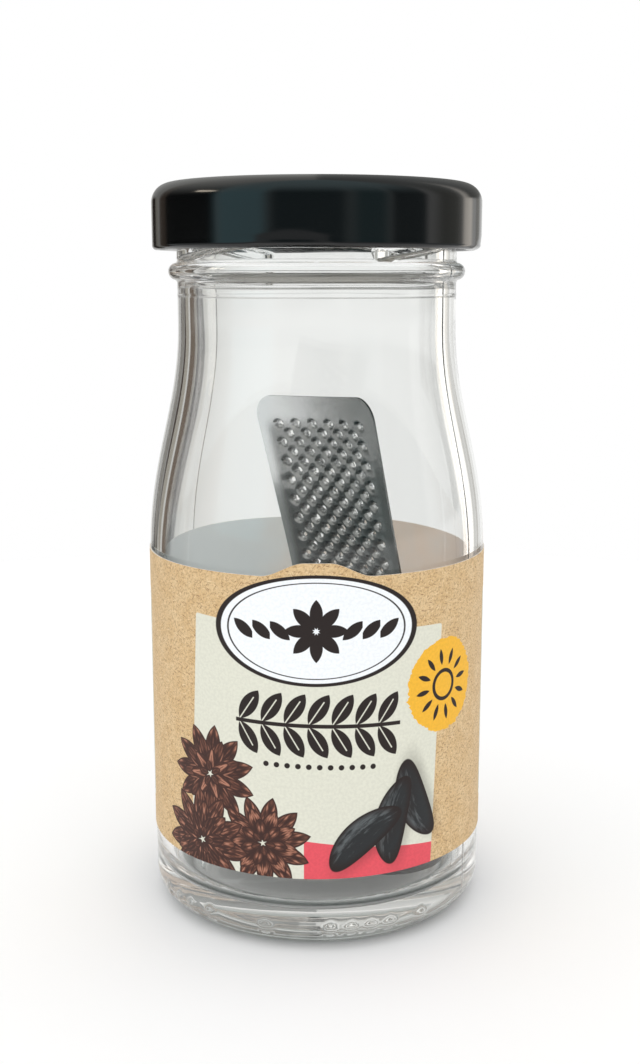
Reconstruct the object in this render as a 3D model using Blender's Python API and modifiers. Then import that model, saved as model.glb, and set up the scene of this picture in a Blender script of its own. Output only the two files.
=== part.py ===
"""A small lidded glass spice jar that holds a pocket grater and whole tonka beans.

The jar stands on the ring under its heel, with its axis on +Z and the front of its label towards -Y.
Angles round the jar are counted from that front, positive towards +X.
"""

import math

import bmesh
import bpy
from mathutils import Euler, Matrix, Vector, geometry

MM = 0.001

# Glass body, from the ground up
BODY_RADIUS = 26.45 * MM
WALL = 2.2 * MM
HEEL_RADIUS = 4.3 * MM
STANDING_RING_INNER = 20.4 * MM
PUSH_UP = 1.6 * MM
FLOOR = 5.0 * MM
FLOOR_CROWN = 0.4 * MM
FLOOR_FILLET = 4.0 * MM
SHOULDER_START = 57.0 * MM
SHOULDER_END = 93.0 * MM
SHOULDER_PULL_LOW = 15.0 * MM
SHOULDER_PULL_HIGH = 13.0 * MM
NECK_RADIUS = 21.75 * MM
BORE_RADIUS = 19.2 * MM
RIM = 113.1 * MM
RIM_ROUND = 0.8 * MM
BEAD_HEIGHT = 100.9 * MM
BEAD_TUBE = 1.35 * MM

# Thread ramps on the neck, one for each lug of the lid
THREADS = 4
THREAD_SPAN = math.radians(112)
THREAD_FIRST_TIP = math.radians(-67)
THREAD_TIP_HEIGHT = 103.05 * MM
THREAD_RISE = 3.44 * MM
THREAD_TUBE = 0.95 * MM
THREAD_CREST = 23.2 * MM
THREAD_POINTS = 15

# Twist-off lid of pressed sheet, with lugs pinched out of its curl
LID_RADIUS = 25.5 * MM
LID_TOP = 114.15 * MM
LID_BOTTOM = 104.1 * MM
LID_SHEET = 0.25 * MM
LID_SHOULDER = 3.0 * MM
PANEL_RADIUS = 17.4 * MM
PANEL_DROP = 0.5 * MM
CURL_TUBE = 0.75 * MM
LUG_REACH = 1.75 * MM
LUG_HALF_WIDTH = math.radians(14)
LUG_ANGLE = math.radians(-8)
LUG_HEIGHT = 1.0 * MM

# Sealing ring under the lid's panel
GASKET_INNER = 18.95 * MM
GASKET_OUTER = 22.9 * MM
GASKET_GAP = 0.2 * MM
GASKET_THICK = 0.38 * MM

# Paper label round the body, with a raised arch at its front
LABEL_GAP = 0.25 * MM
LABEL_SHEET = 0.25 * MM
LABEL_LOW = 11.8 * MM
LABEL_HIGH = 57.8 * MM
ARCH_RISE = 2.5 * MM
ARCH_FLAT = 3.6 * MM
ARCH_HALF_WIDTH = 8.4 * MM
LABEL_OPEN = math.radians(4)
LABEL_COLUMNS = 94

# Pocket grater: one hollow strip with rows of burrs, punched through to its outer side
BLADE_LENGTH = 77.0 * MM
BLADE_HEAD_WIDTH = 27.0 * MM
BLADE_TAIL_WIDTH = 23.4 * MM
BLADE_CORNER = 3.4 * MM
BLADE_SHEET = 0.35 * MM
BLADE_HOLLOW_RADIUS = 63.0 * MM
BURR_COLUMN_STEP = 1.85 * MM
BURR_ROW_STEP = 1.54 * MM
BURR_COLUMNS = 12
BURR_ROWS = 27
BURR_ZONE_TOP = 3.1 * MM
BURR_HOLE = 0.55 * MM
BURR_DEPTH = 0.6 * MM
BURR_SIDES = 6
BLADE_FOOT = Vector((14.57, 1.25, 6.75)) * MM
BLADE_HEAD = Vector((-0.45, -6.3, 81.9)) * MM
BLADE_TURN = math.radians(-48.7)

# Beans: length, width, thickness, then where each lies and how it is turned, in degrees
BEAN_RINGS = 14
BEAN_SIDES = 18
BEANS = (
    ((34.0, 11.0, 8.6), (2.9, -9.0, 10.1), (0, 0, -15)),
    ((31.0, 11.4, 9.0), (-9.2, 11.6, 10.3), (0, 0, 37)),
    ((33.0, 10.6, 8.4), (-4.5, -0.6, 18.0), (0, 0, -19)),
    ((29.0, 10.8, 8.8), (12.8, 10.8, 12.6), (47, 10, -55)),
)

STEPS_ROUND = 48
LID_STEPS = 56
MERGE = 0.01 * MM


def clear_scene():
    for thing in list(bpy.data.objects):
        bpy.data.objects.remove(thing, do_unlink=True)


def collection(name):
    made = bpy.data.collections.new(name)
    bpy.context.scene.collection.children.link(made)
    return made


def material(name, colour, roughness, metallic=0.0, transmission=0.0):
    made = bpy.data.materials.new(name)
    made.use_nodes = True
    shader = made.node_tree.nodes["Principled BSDF"]
    shader.inputs["Base Color"].default_value = (*colour, 1.0)
    shader.inputs["Roughness"].default_value = roughness
    shader.inputs["Metallic"].default_value = metallic
    shader.inputs["Transmission Weight"].default_value = transmission
    made.diffuse_color = (*colour, 1.0)
    return made


def place(name, data, group, finish=None):
    made = bpy.data.objects.new(name, data)
    group.objects.link(made)
    if finish is not None:
        made.data.materials.append(finish)
    return made


def shade_round(thing, angle=40):
    thing.data.shade_smooth()
    thing.data.set_sharp_from_angle(angle=math.radians(angle))


def round_the_jar(radius, angle, height):
    """Point at an angle from the front, positive towards +X."""
    return Vector((radius * math.sin(angle), -radius * math.cos(angle), height))


def bezier(start, pull_start, pull_end, end, count):
    """Points on a cubic curve, its ends included."""
    points = []
    for i in range(count):
        t = i / (count - 1)
        s = 1 - t
        weights = (s**3, 3 * s * s * t, 3 * s * t * t, t**3)
        ends = (start, pull_start, pull_end, end)
        points.append(tuple(sum(w * p[k] for w, p in zip(weights, ends)) for k in (0, 1)))
    return points


def arc(centre, radius, start, end, count):
    """Points on an arc in the (radius, height) plane, angles in degrees from outwards."""
    points = []
    for i in range(count):
        a = math.radians(start + (end - start) * i / (count - 1))
        points.append((centre[0] + radius * math.cos(a), centre[1] + radius * math.sin(a)))
    return points


def profile_mesh(name, profile, closed=False):
    """An edge chain of (radius, height) points in the XZ plane."""
    mesh = bpy.data.meshes.new(name)
    edges = [(i, i + 1) for i in range(len(profile) - 1)]
    if closed:
        edges.append((len(profile) - 1, 0))
    mesh.from_pydata([(r, 0.0, z) for r, z in profile], edges, [])
    return mesh


def turn(thing, steps):
    screw = thing.modifiers.new("Turn", "SCREW")
    screw.axis = "Z"
    screw.steps = screw.render_steps = steps
    screw.use_merge_vertices = True
    screw.merge_threshold = MERGE
    return screw


def solidify(thing, thickness, offset):
    shell = thing.modifiers.new("Sheet", "SOLIDIFY")
    shell.thickness = thickness
    shell.offset = offset
    shell.use_even_offset = True


def as_mesh(thing, group, name, finish=None):
    """The evaluated shape of an object as a plain mesh object, in place of that object."""
    bpy.context.view_layer.update()
    evaluated = thing.evaluated_get(bpy.context.evaluated_depsgraph_get())
    mesh = bpy.data.meshes.new_from_object(evaluated)
    welded = bmesh.new()
    welded.from_mesh(mesh)
    bmesh.ops.remove_doubles(welded, verts=welded.verts, dist=MERGE)
    welded.to_mesh(mesh)
    welded.free()
    mesh.materials.clear()
    made = place(name, mesh, group, finish)
    made.matrix_world = thing.matrix_world.copy()
    bpy.data.objects.remove(thing, do_unlink=True)
    return made


def helper(thing):
    thing.hide_render = True
    thing.display_type = "WIRE"
    return thing


# Glass jar


def shoulder(low_radius, high_radius, lift, count):
    """The S curve from the straight body up to the neck."""
    low, high = SHOULDER_START + lift, SHOULDER_END + lift
    return bezier(
        (low_radius, low),
        (low_radius, low + SHOULDER_PULL_LOW),
        (high_radius, high - SHOULDER_PULL_HIGH),
        (high_radius, high),
        count,
    )


def jar_profile():
    """From the middle of the floor up the inside, over the rim and down the outside to the push-up."""
    inner = BODY_RADIUS - WALL
    inside = [(0.0, FLOOR + FLOOR_CROWN)]
    inside += arc((inner - FLOOR_FILLET, FLOOR + FLOOR_FILLET), FLOOR_FILLET, -90, 0, 5)
    inside += shoulder(inner, BORE_RADIUS, -WALL / 2, 8)
    rim = arc((BORE_RADIUS + RIM_ROUND, RIM - RIM_ROUND), RIM_ROUND, 180, 90, 3)
    rim += arc((NECK_RADIUS - RIM_ROUND, RIM - RIM_ROUND), RIM_ROUND, 90, 0, 3)
    bead = arc((NECK_RADIUS, BEAD_HEIGHT), BEAD_TUBE, 84, -84, 6)
    outside = list(reversed(shoulder(BODY_RADIUS, NECK_RADIUS, 0.0, 8)))
    heel = arc((BODY_RADIUS - HEEL_RADIUS, HEEL_RADIUS), HEEL_RADIUS, 0, -90, 6)
    foot = [(STANDING_RING_INNER, 0.0), (STANDING_RING_INNER - PUSH_UP, PUSH_UP * 0.6), (0.0, PUSH_UP)]
    return inside + rim + bead + outside + heel + foot


def thread_ramp(index, group):
    """A round ridge that climbs the neck and fades out at both ends."""
    line = bpy.data.curves.new(f"thread_line_{index}", "CURVE")
    line.dimensions = "3D"
    line.bevel_depth = THREAD_TUBE
    line.bevel_resolution = 2
    line.use_fill_caps = True
    spline = line.splines.new("POLY")
    spline.points.add(THREAD_POINTS - 1)
    tip = THREAD_FIRST_TIP + index * 2 * math.pi / THREADS
    for i, point in enumerate(spline.points):
        along = i / (THREAD_POINTS - 1)
        swell = min(1.0, 0.65 + 5 * along, 0.35 + 5 * (1 - along))
        radius = THREAD_CREST - THREAD_TUBE * swell
        turned = along * THREAD_SPAN
        height = THREAD_TIP_HEIGHT + THREAD_RISE * turned
        point.co = (*round_the_jar(radius - (1 - swell) * THREAD_TUBE, tip + turned, height), 1.0)
        point.radius = swell
    curve = place(f"thread_curve_{index}", line, group)
    return helper(as_mesh(curve, group, f"thread_{index}"))


def build_jar(parts, cutters):
    glass = material("clear glass", (0.93, 0.95, 0.94), 0.02, transmission=1.0)
    jar = place("jar", profile_mesh("jar", jar_profile()), parts, glass)
    turn(jar, STEPS_ROUND)
    for i in range(THREADS):
        union = jar.modifiers.new(f"Thread {i + 1}", "BOOLEAN")
        union.operation = "UNION"
        union.object = thread_ramp(i, cutters)
    return jar


# Lid and its sealing ring


def lid_profile():
    """Outer face of the sheet, from the middle of the panel to the inner edge of the curl."""
    panel = [(0.0, LID_TOP - PANEL_DROP), (PANEL_RADIUS, LID_TOP - PANEL_DROP)]
    panel.append((PANEL_RADIUS + PANEL_DROP * 1.5, LID_TOP))
    edge = arc((LID_RADIUS - LID_SHOULDER, LID_TOP - LID_SHOULDER), LID_SHOULDER, 90, 0, 5)
    curl = arc((LID_RADIUS - CURL_TUBE, LID_BOTTOM + CURL_TUBE), CURL_TUBE, 0, -180, 6)
    return panel + edge + curl


def pinch_lugs(mesh):
    """Pushes the curl inwards and flattens it at four places, so that it hooks under the threads."""
    middle = LID_RADIUS - 1.2 * CURL_TUBE
    for vertex in mesh.vertices:
        radius = math.hypot(vertex.co.x, vertex.co.y)
        if vertex.co.z > LID_BOTTOM + 2.2 * CURL_TUBE or radius > middle:
            continue
        angle = math.atan2(vertex.co.x, -vertex.co.y)
        step = 2 * math.pi / THREADS
        off = (angle - LUG_ANGLE + step / 2) % step - step / 2
        if abs(off) >= LUG_HALF_WIDTH:
            continue
        bulge = min(1.0, 2.2 * math.cos(off / LUG_HALF_WIDTH * math.pi / 2))
        depth = min(1.0, (middle - radius) / CURL_TUBE)
        scale = (radius - bulge * depth * LUG_REACH) / radius
        vertex.co.x *= scale
        vertex.co.y *= scale
        low = LID_BOTTOM + (vertex.co.z - LID_BOTTOM) * LUG_HEIGHT / (2 * CURL_TUBE)
        vertex.co.z += (low - vertex.co.z) * bulge


def build_lid(parts):
    enamel = material("black enamel", (0.012, 0.014, 0.015), 0.18)
    pressed = place("lid_pressing", profile_mesh("lid", lid_profile()), parts)
    turn(pressed, LID_STEPS)
    pressed.rotation_euler = (0, 0, LUG_ANGLE)
    lid = as_mesh(pressed, parts, "lid", enamel)
    lid.data.transform(lid.matrix_world)
    lid.matrix_world = Matrix.Identity(4)
    pinch_lugs(lid.data)
    solidify(lid, LID_SHEET, -1.0)
    return lid


def build_gasket(parts):
    compound = material("sealing compound", (0.72, 0.70, 0.64), 0.6)
    low = RIM + GASKET_GAP
    high = low + GASKET_THICK
    outer_low = low + GASKET_THICK * 0.3
    section = [(GASKET_INNER, low), (GASKET_INNER, high), (GASKET_OUTER, high), (GASKET_OUTER, outer_low)]
    section.append((GASKET_OUTER - GASKET_THICK, low))
    gasket = place("gasket", profile_mesh("gasket", section, closed=True), parts, compound)
    turn(gasket, LID_STEPS)
    return gasket


# Label


def arch_lift(across):
    """How far the label's top edge rises at a distance across its front: flat in the middle, then an S down."""
    t = (abs(across) - ARCH_FLAT / 2) / (ARCH_HALF_WIDTH - ARCH_FLAT / 2)
    t = min(1.0, max(0.0, t))
    return ARCH_RISE * (1 - t * t * (3 - 2 * t))


def build_label(parts):
    paper = material("kraft paper", (0.62, 0.44, 0.24), 0.8)
    radius = BODY_RADIUS + LABEL_GAP
    half = math.pi - LABEL_OPEN / 2
    vertices, faces = [], []
    for i in range(LABEL_COLUMNS + 1):
        angle = -half + 2 * half * i / LABEL_COLUMNS
        top = LABEL_HIGH + arch_lift(angle * radius)
        vertices += [round_the_jar(radius, angle, LABEL_LOW), round_the_jar(radius, angle, top)]
    for i in range(LABEL_COLUMNS):
        low = 2 * i
        faces.append((low, low + 2, low + 3, low + 1))
    mesh = bpy.data.meshes.new("label")
    mesh.from_pydata(vertices, [], faces)
    label = place("label", mesh, parts, paper)
    solidify(label, LABEL_SHEET, 1.0)
    return label


# Grater


def blade_half_width(along):
    """Half the strip's width at a distance from its head."""
    share = along / BLADE_LENGTH
    return (BLADE_HEAD_WIDTH + (BLADE_TAIL_WIDTH - BLADE_HEAD_WIDTH) * share) / 2


def blade_outline():
    """The flat strip, head up at zero and tail at minus its length, as one closed loop."""
    corner = BLADE_CORNER
    edge = []
    for i in range(4):
        a = math.radians(90 - 30 * i)
        x = blade_half_width(corner) - corner + corner * math.cos(a)
        edge.append((x, -corner + corner * math.sin(a)))
    for i in range(1, 12):
        along = corner + (BLADE_LENGTH - 2 * corner) * i / 12
        edge.append((blade_half_width(along), -along))
    for i in range(4):
        a = math.radians(-30 * i)
        x = blade_half_width(BLADE_LENGTH) - corner + corner * math.cos(a)
        edge.append((x, -BLADE_LENGTH + corner + corner * math.sin(a)))
    return edge + [(-x, y) for x, y in reversed(edge)]


def burr_centres():
    """Staggered rows of six and five burrs below the head."""
    centres = []
    for row in range(BURR_ROWS):
        first = 1 + row % 2
        for column in range(first, BURR_COLUMNS, 2):
            x = (column - BURR_COLUMNS / 2) * BURR_COLUMN_STEP
            centres.append((x, -BURR_ZONE_TOP - (row + 1) * BURR_ROW_STEP))
    return centres


def lattice_corners():
    """The points between the burrs, which stay level with the sheet."""
    corners = []
    for row in range(BURR_ROWS + 2):
        for column in range(row % 2, BURR_COLUMNS + 1, 2):
            x = (column - BURR_COLUMNS / 2) * BURR_COLUMN_STEP
            corners.append((x, -BURR_ZONE_TOP - row * BURR_ROW_STEP))
    return corners


def punched_sheet():
    """The flat strip cut into triangles, with a six-sided hole at each burr and its lip pushed down."""
    outline = blade_outline()
    points = list(outline)
    edges = [(i, (i + 1) % len(outline)) for i in range(len(outline))]
    holes = []
    for x, y in burr_centres():
        first = len(points)
        for k in range(BURR_SIDES):
            a = 2 * math.pi * k / BURR_SIDES
            points.append((x + BURR_HOLE * math.cos(a), y + BURR_HOLE * math.sin(a)))
            edges.append((first + k, first + (k + 1) % BURR_SIDES))
        holes.append((x, y))
    points += lattice_corners()
    # Triangles come back for the whole strip, so those inside a hole are left out below.
    made = geometry.delaunay_2d_cdt([Vector(p) for p in points], edges, [], 1, MERGE / 10)
    flat, triangles = made[0], made[2]
    kept = []
    for face in triangles:
        middle = sum((flat[i] for i in face), Vector((0.0, 0.0))) / len(face)
        if not any((middle - Vector(h)).length < BURR_HOLE * 0.8 for h in holes):
            kept.append(face)
    pushed = []
    for point in flat:
        lip = any(abs((point - Vector(h)).length - BURR_HOLE) < MERGE for h in holes)
        pushed.append((point.x, point.y, BURR_DEPTH if lip else 0.0))
    return pushed, kept


def build_grater(parts):
    steel = material("stainless steel", (0.56, 0.57, 0.57), 0.28, metallic=1.0)
    flat, faces = punched_sheet()
    hollow = []
    for x, y, depth in flat:
        a = x / BLADE_HOLLOW_RADIUS
        reach = BLADE_HOLLOW_RADIUS + depth
        hollow.append((reach * math.sin(a), y, BLADE_HOLLOW_RADIUS - reach * math.cos(a)))
    mesh = bpy.data.meshes.new("grater")
    mesh.from_pydata(hollow, [], faces)
    mesh.update()
    grater = place("grater", mesh, parts, steel)
    solidify(grater, BLADE_SHEET, -1.0)
    up = (BLADE_HEAD - BLADE_FOOT).normalized()
    out = Vector((0, -1, 0)) - up * up.dot(Vector((0, -1, 0)))
    out.normalize()
    side = up.cross(out)
    upright = Matrix((side, up, out)).transposed().to_4x4()
    turned = upright @ Matrix.Rotation(BLADE_TURN, 4, "Y")
    grater.matrix_world = Matrix.Translation(BLADE_HEAD) @ turned
    return grater


# Beans


def bean_mesh(name, size, seed):
    """A long, slightly bent seed with one blunter end and shallow folds that run along it."""
    made = bmesh.new()
    bmesh.ops.create_uvsphere(made, u_segments=BEAN_SIDES, v_segments=BEAN_RINGS, radius=1.0)
    length, width, thick = (s * MM / 2 for s in size)
    for vertex in made.verts:
        along, across, up = vertex.co.z, vertex.co.x, vertex.co.y
        around = math.atan2(up, across)
        fullness = (1 - abs(along) ** 2.6) ** 0.5 if abs(along) < 1 else 0.0
        ring = math.hypot(across, up)
        plump = fullness / ring if ring > 1e-6 else 0.0
        blunt = 1 + 0.10 * along
        fold = 1 + 0.045 * math.sin(5 * around + 2.2 * along + seed)
        fold += 0.035 * math.sin(9 * around - 3.1 * along + 2 * seed)
        bend = 0.16 * width * (1 - along * along)
        scale = plump * blunt * (1 + (fold - 1) * (1 - along**4))
        vertex.co = (along * length, across * width * scale + bend, up * thick * scale)
    mesh = bpy.data.meshes.new(name)
    made.to_mesh(mesh)
    made.free()
    return mesh


def build_beans(parts):
    skin = material("bean skin", (0.022, 0.017, 0.015), 0.5)
    for i, (size, centre, turned) in enumerate(BEANS):
        bean = place(f"bean_{i + 1}", bean_mesh(f"bean_{i + 1}", size, 1.7 * i), parts, skin)
        bean.location = Vector(centre) * MM
        bean.rotation_euler = Euler([math.radians(a) for a in turned])


def main():
    clear_scene()
    parts = collection("tonka_bean_jar")
    cutters = collection("unions")
    build_jar(parts, cutters)
    build_lid(parts)
    build_gasket(parts)
    build_label(parts)
    build_grater(parts)
    build_beans(parts)
    bpy.context.view_layer.update()
    for thing in parts.objects:
        shade_round(thing)


main()
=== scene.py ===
"""The looks of a small lidded glass spice jar with a paper label, a pocket grater and tonka beans.

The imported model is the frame. Each sub-assembly is a class that builds its meshes, dresses them and
hands them to the body that carries them. Lengths are in metres, angles round the jar are counted from
the front of the label (-Y), positive towards +X.
"""

import logging
import math
from dataclasses import dataclass, field
from enum import Enum

import bmesh
import bpy
import numpy as np
from mathutils import Matrix, Vector, geometry


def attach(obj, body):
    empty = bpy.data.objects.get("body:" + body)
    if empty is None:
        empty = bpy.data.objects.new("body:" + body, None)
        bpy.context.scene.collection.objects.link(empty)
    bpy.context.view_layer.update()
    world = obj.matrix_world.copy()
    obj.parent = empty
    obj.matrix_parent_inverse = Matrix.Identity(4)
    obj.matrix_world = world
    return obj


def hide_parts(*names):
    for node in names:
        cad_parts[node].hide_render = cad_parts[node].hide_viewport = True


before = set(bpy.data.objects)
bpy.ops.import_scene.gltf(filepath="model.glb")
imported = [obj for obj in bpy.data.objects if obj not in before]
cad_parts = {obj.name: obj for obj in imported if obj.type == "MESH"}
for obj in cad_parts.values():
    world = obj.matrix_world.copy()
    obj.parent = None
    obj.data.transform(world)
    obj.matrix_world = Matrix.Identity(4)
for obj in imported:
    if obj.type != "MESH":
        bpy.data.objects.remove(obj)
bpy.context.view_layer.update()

MM = 0.001
LOG = logging.getLogger("spice_jar")
Colour = tuple[float, float, float]
Point = tuple[float, float]


class Body(Enum):
    """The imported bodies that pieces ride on."""

    JAR = "jar"
    SEAL = "seal"
    LID = "lid"


def tint(red: int, green: int, blue: int) -> Colour:
    """Turns a colour given as it shows on a screen into light.

    Args:
        red, green, blue: Display values from 0 to 255.

    Returns:
        The linear colour.
    """
    shares = (c / 255 for c in (red, green, blue))
    return tuple(s / 12.92 if s <= 0.04045 else ((s + 0.055) / 1.055) ** 2.4 for s in shares)


# Shader maths


class Value:
    """A shader socket that takes part in Python expressions."""

    def __init__(self, graph: "Graph", socket: bpy.types.NodeSocket) -> None:
        """Keeps the socket and the graph that new nodes go into."""
        self.graph = graph
        self.socket = socket

    def _with(self, operation: str, *others: "Value | float") -> "Value":
        """One Math node on this value and others."""
        return self.graph.math(operation, self, *others)

    def __add__(self, other: "Value | float") -> "Value":
        """Sum."""
        return self._with("ADD", other)

    __radd__ = __add__

    def __sub__(self, other: "Value | float") -> "Value":
        """Difference."""
        return self._with("SUBTRACT", other)

    def __rsub__(self, other: float) -> "Value":
        """Difference from a number."""
        return self.graph.math("SUBTRACT", other, self)

    def __mul__(self, other: "Value | float") -> "Value":
        """Product."""
        return self._with("MULTIPLY", other)

    __rmul__ = __mul__

    def __truediv__(self, other: "Value | float") -> "Value":
        """Quotient."""
        return self._with("DIVIDE", other)

    def __rtruediv__(self, other: float) -> "Value":
        """A number divided by this value."""
        return self.graph.math("DIVIDE", other, self)

    def __pow__(self, other: float) -> "Value":
        """Power."""
        return self._with("POWER", other)

    def __neg__(self) -> "Value":
        """Minus this value."""
        return self._with("MULTIPLY", -1.0)

    def __abs__(self) -> "Value":
        """Size without sign."""
        return self._with("ABSOLUTE")

    def least(self, other: "Value | float") -> "Value":
        """The smaller of two."""
        return self._with("MINIMUM", other)

    def most(self, other: "Value | float") -> "Value":
        """The larger of two."""
        return self._with("MAXIMUM", other)

    def sine(self) -> "Value":
        """Sine of an angle in radians."""
        return self._with("SINE")

    def cosine(self) -> "Value":
        """Cosine of an angle in radians."""
        return self._with("COSINE")

    def root(self) -> "Value":
        """Square root of a value that isn't negative."""
        return self.most(0.0)._with("SQRT")

    def step(self, low: float, high: float) -> "Value":
        """Smooth rise from 0 at low to 1 at high, or a fall where low is above high.

        Args:
            low: The value that gives 0.
            high: The value that gives 1.

        Returns:
            The smooth step.
        """
        settings = {"interpolation_type": "SMOOTHSTEP"}
        if low < high:
            ends = {"From Min": low, "From Max": high, "To Min": 0.0, "To Max": 1.0}
        else:
            ends = {"From Min": high, "From Max": low, "To Min": 1.0, "To Max": 0.0}
        return self.graph.node("ShaderNodeMapRange", settings, {"Value": self, **ends}, "Result")


class Graph:
    """The node tree of one material, built by expressions."""

    def __init__(self, material: bpy.types.Material) -> None:
        """Clears the material's tree and adds its output.

        Args:
            material: The material that the nodes go into.
        """
        material.use_nodes = True
        self.tree = material.node_tree
        self.tree.nodes.clear()
        self.output = self.tree.nodes.new("ShaderNodeOutputMaterial")

    def feed(self, socket: bpy.types.NodeSocket, source: object) -> None:
        """Links a Value or writes a constant into a socket.

        Args:
            socket: The input to fill.
            source: A Value, a number, or a colour or vector.
        """
        if isinstance(source, Value):
            self.tree.links.new(source.socket, socket)
        elif socket.type == "RGBA" and len(source) == 3:
            socket.default_value = (*source, 1.0)
        else:
            socket.default_value = source

    def node(self, kind: str, settings: dict, inputs: dict, out: str | int = 0) -> Value:
        """Adds any node, sets its options first and then its inputs.

        Args:
            kind: The node's Blender type.
            settings: Options such as an operation, or "stops" for a colour ramp.
            inputs: Socket names or numbers, with values or links.
            out: The output to return.

        Returns:
            The chosen output.
        """
        made = self.tree.nodes.new(kind)
        for key, setting in settings.items():
            if key == "stops":
                self._set_stops(made.color_ramp, setting)
            else:
                setattr(made, key, setting)
        for key, source in inputs.items():
            self.feed(made.inputs[key], source)
        return Value(self, made.outputs[out])

    @staticmethod
    def _set_stops(ramp: bpy.types.ColorRamp, stops: list[tuple[float, Colour]]) -> None:
        """Fills a colour ramp.

        Args:
            ramp: The ramp of a Color Ramp node.
            stops: Places from 0 to 1 with their colours.
        """
        while len(ramp.elements) < len(stops):
            ramp.elements.new(1.0)
        for element, (place, colour) in zip(ramp.elements, stops):
            element.position = place
            element.color = (*colour, 1.0)

    def math(self, operation: str, *values: "Value | float") -> Value:
        """One Math node."""
        return self.node("ShaderNodeMath", {"operation": operation}, dict(enumerate(values)))

    def mix(self, share: "Value | float", first: object, second: object, blend: str = "MIX") -> Value:
        """Mixes two colours.

        Args:
            share: How much of the second colour shows.
            first, second: Colours or links.
            blend: The blend type.

        Returns:
            The mixed colour.
        """
        settings = {"data_type": "RGBA", "blend_type": blend}
        return self.node("ShaderNodeMix", settings, {0: share, 6: first, 7: second}, 2)

    def place(self) -> Value:
        """Where a point is in the object's own space, in metres."""
        return self.node("ShaderNodeTexCoord", {}, {}, "Object")

    def split(self, vector: Value) -> tuple[Value, Value, Value]:
        """The three parts of a vector.

        Args:
            vector: The vector to take apart.

        Returns:
            Its x, y and z.
        """
        made = self.node("ShaderNodeSeparateXYZ", {}, {0: vector})
        outs = made.socket.node.outputs
        return tuple(Value(self, outs[i]) for i in range(3))

    def join(self, x: object, y: object, z: object) -> Value:
        """A vector from three parts."""
        return self.node("ShaderNodeCombineXYZ", {}, {0: x, 1: y, 2: z})

    def noise(self, at: Value, scale: float, detail: float = 2.0, rough: float = 0.5) -> Value:
        """Noise from 0 to 1.

        Args:
            at: Where it is read.
            scale: Size of its grain, as repeats per unit of the place.
            detail: Number of finer layers.
            rough: How strong the finer layers are.

        Returns:
            The noise.
        """
        inputs = {"Vector": at, "Scale": scale, "Detail": detail, "Roughness": rough}
        return self.node("ShaderNodeTexNoise", {}, inputs, 0)

    def stretch(self, at: Value, factors: Colour, turn: Colour = (0, 0, 0)) -> Value:
        """A place turned and then scaled along each axis.

        Args:
            at: The place.
            factors: How much each axis is scaled.
            turn: Angles of the turn.

        Returns:
            The new place.
        """
        euler = {"rotation_type": "EULER_XYZ"}
        turned = self.node("ShaderNodeVectorRotate", euler, {"Vector": at, "Rotation": turn})
        return self.node("ShaderNodeVectorMath", {"operation": "MULTIPLY"}, {0: turned, 1: factors})

    def bump(self, height: Value, distance: float, strength: float = 1.0) -> Value:
        """A Bump node.

        Args:
            height: The relief, 0 to 1.
            distance: Depth of the relief in metres.
            strength: How much of it shows.

        Returns:
            The normal.
        """
        inputs = {"Height": height, "Distance": distance, "Strength": strength}
        return self.node("ShaderNodeBump", {}, inputs, "Normal")

    def principled(self, **inputs: object) -> Value:
        """A Principled shader, with underscores in place of the spaces in its socket names."""
        named = {name.replace("_", " "): source for name, source in inputs.items()}
        return self.node("ShaderNodeBsdfPrincipled", {}, named, "BSDF")

    def finish(self, shader: Value) -> None:
        """Sends a shader to the surface."""
        self.tree.links.new(shader.socket, self.output.inputs["Surface"])


class Finish:
    """A surface finish that becomes one Blender material."""

    name = "finish"

    def shade(self, g: Graph) -> Value:
        """The shader of this finish."""
        raise NotImplementedError

    def material(self) -> bpy.types.Material:
        """The finish as a material, made once.

        Returns:
            The material.
        """
        made = bpy.data.materials.get(self.name)
        if made is None:
            made = bpy.data.materials.new(self.name)
            g = Graph(made)
            g.finish(self.shade(g))
        return made


@dataclass(frozen=True)
class ClearGlass(Finish):
    """Flint glass: faint green, fire polished, with a little drift in its surface and a heel darkened
    partly by painted contact shadow.
    """

    colour: Colour = (0.970, 0.976, 0.970)
    index: float = 1.5
    # thick: the heel's colour, partly the deeper tint of thick glass and partly painted contact shadow
    thick: Colour = (0.17, 0.20, 0.185)
    ripple: float = 0.03 * MM
    name: str = "clear_glass"

    def shade(self, g: Graph) -> Value:
        """Glass that lets lamp light straight through, so that what is inside is lit.

        Args:
            g: The material's graph.

        Returns:
            The shader.
        """
        at = g.place()
        drift = g.noise(g.stretch(at, (90.0, 90.0, 28.0)), 1.0, 1.0)
        smear = g.noise(g.stretch(at, (260.0, 260.0, 120.0)), 1.0, 3.0).step(0.55, 0.8)
        x, y, height = g.split(at)
        # Painted shade: the foot of the heel turns dark, partly thick-glass tint and partly a painted
        # contact shadow where the jar meets the floor.
        foot = height.step(5.0 * MM, 0.3 * MM) * (x * x + y * y).root().step(20.0 * MM, 22.5 * MM)
        glass = g.principled(
            Base_Color=g.mix(foot, self.colour, self.thick),
            Roughness=smear * 0.012 + foot * 0.05,
            IOR=self.index,
            Transmission_Weight=1.0,
            Normal=g.bump(drift, self.ripple, 0.6),
        )
        shadow = g.node("ShaderNodeLightPath", {}, {}, "Is Shadow Ray")
        clear = g.node("ShaderNodeBsdfTransparent", {}, {"Color": (0.955, 0.965, 0.96)})
        return g.node("ShaderNodeMixShader", {}, {0: shadow, 1: glass, 2: clear})


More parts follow.
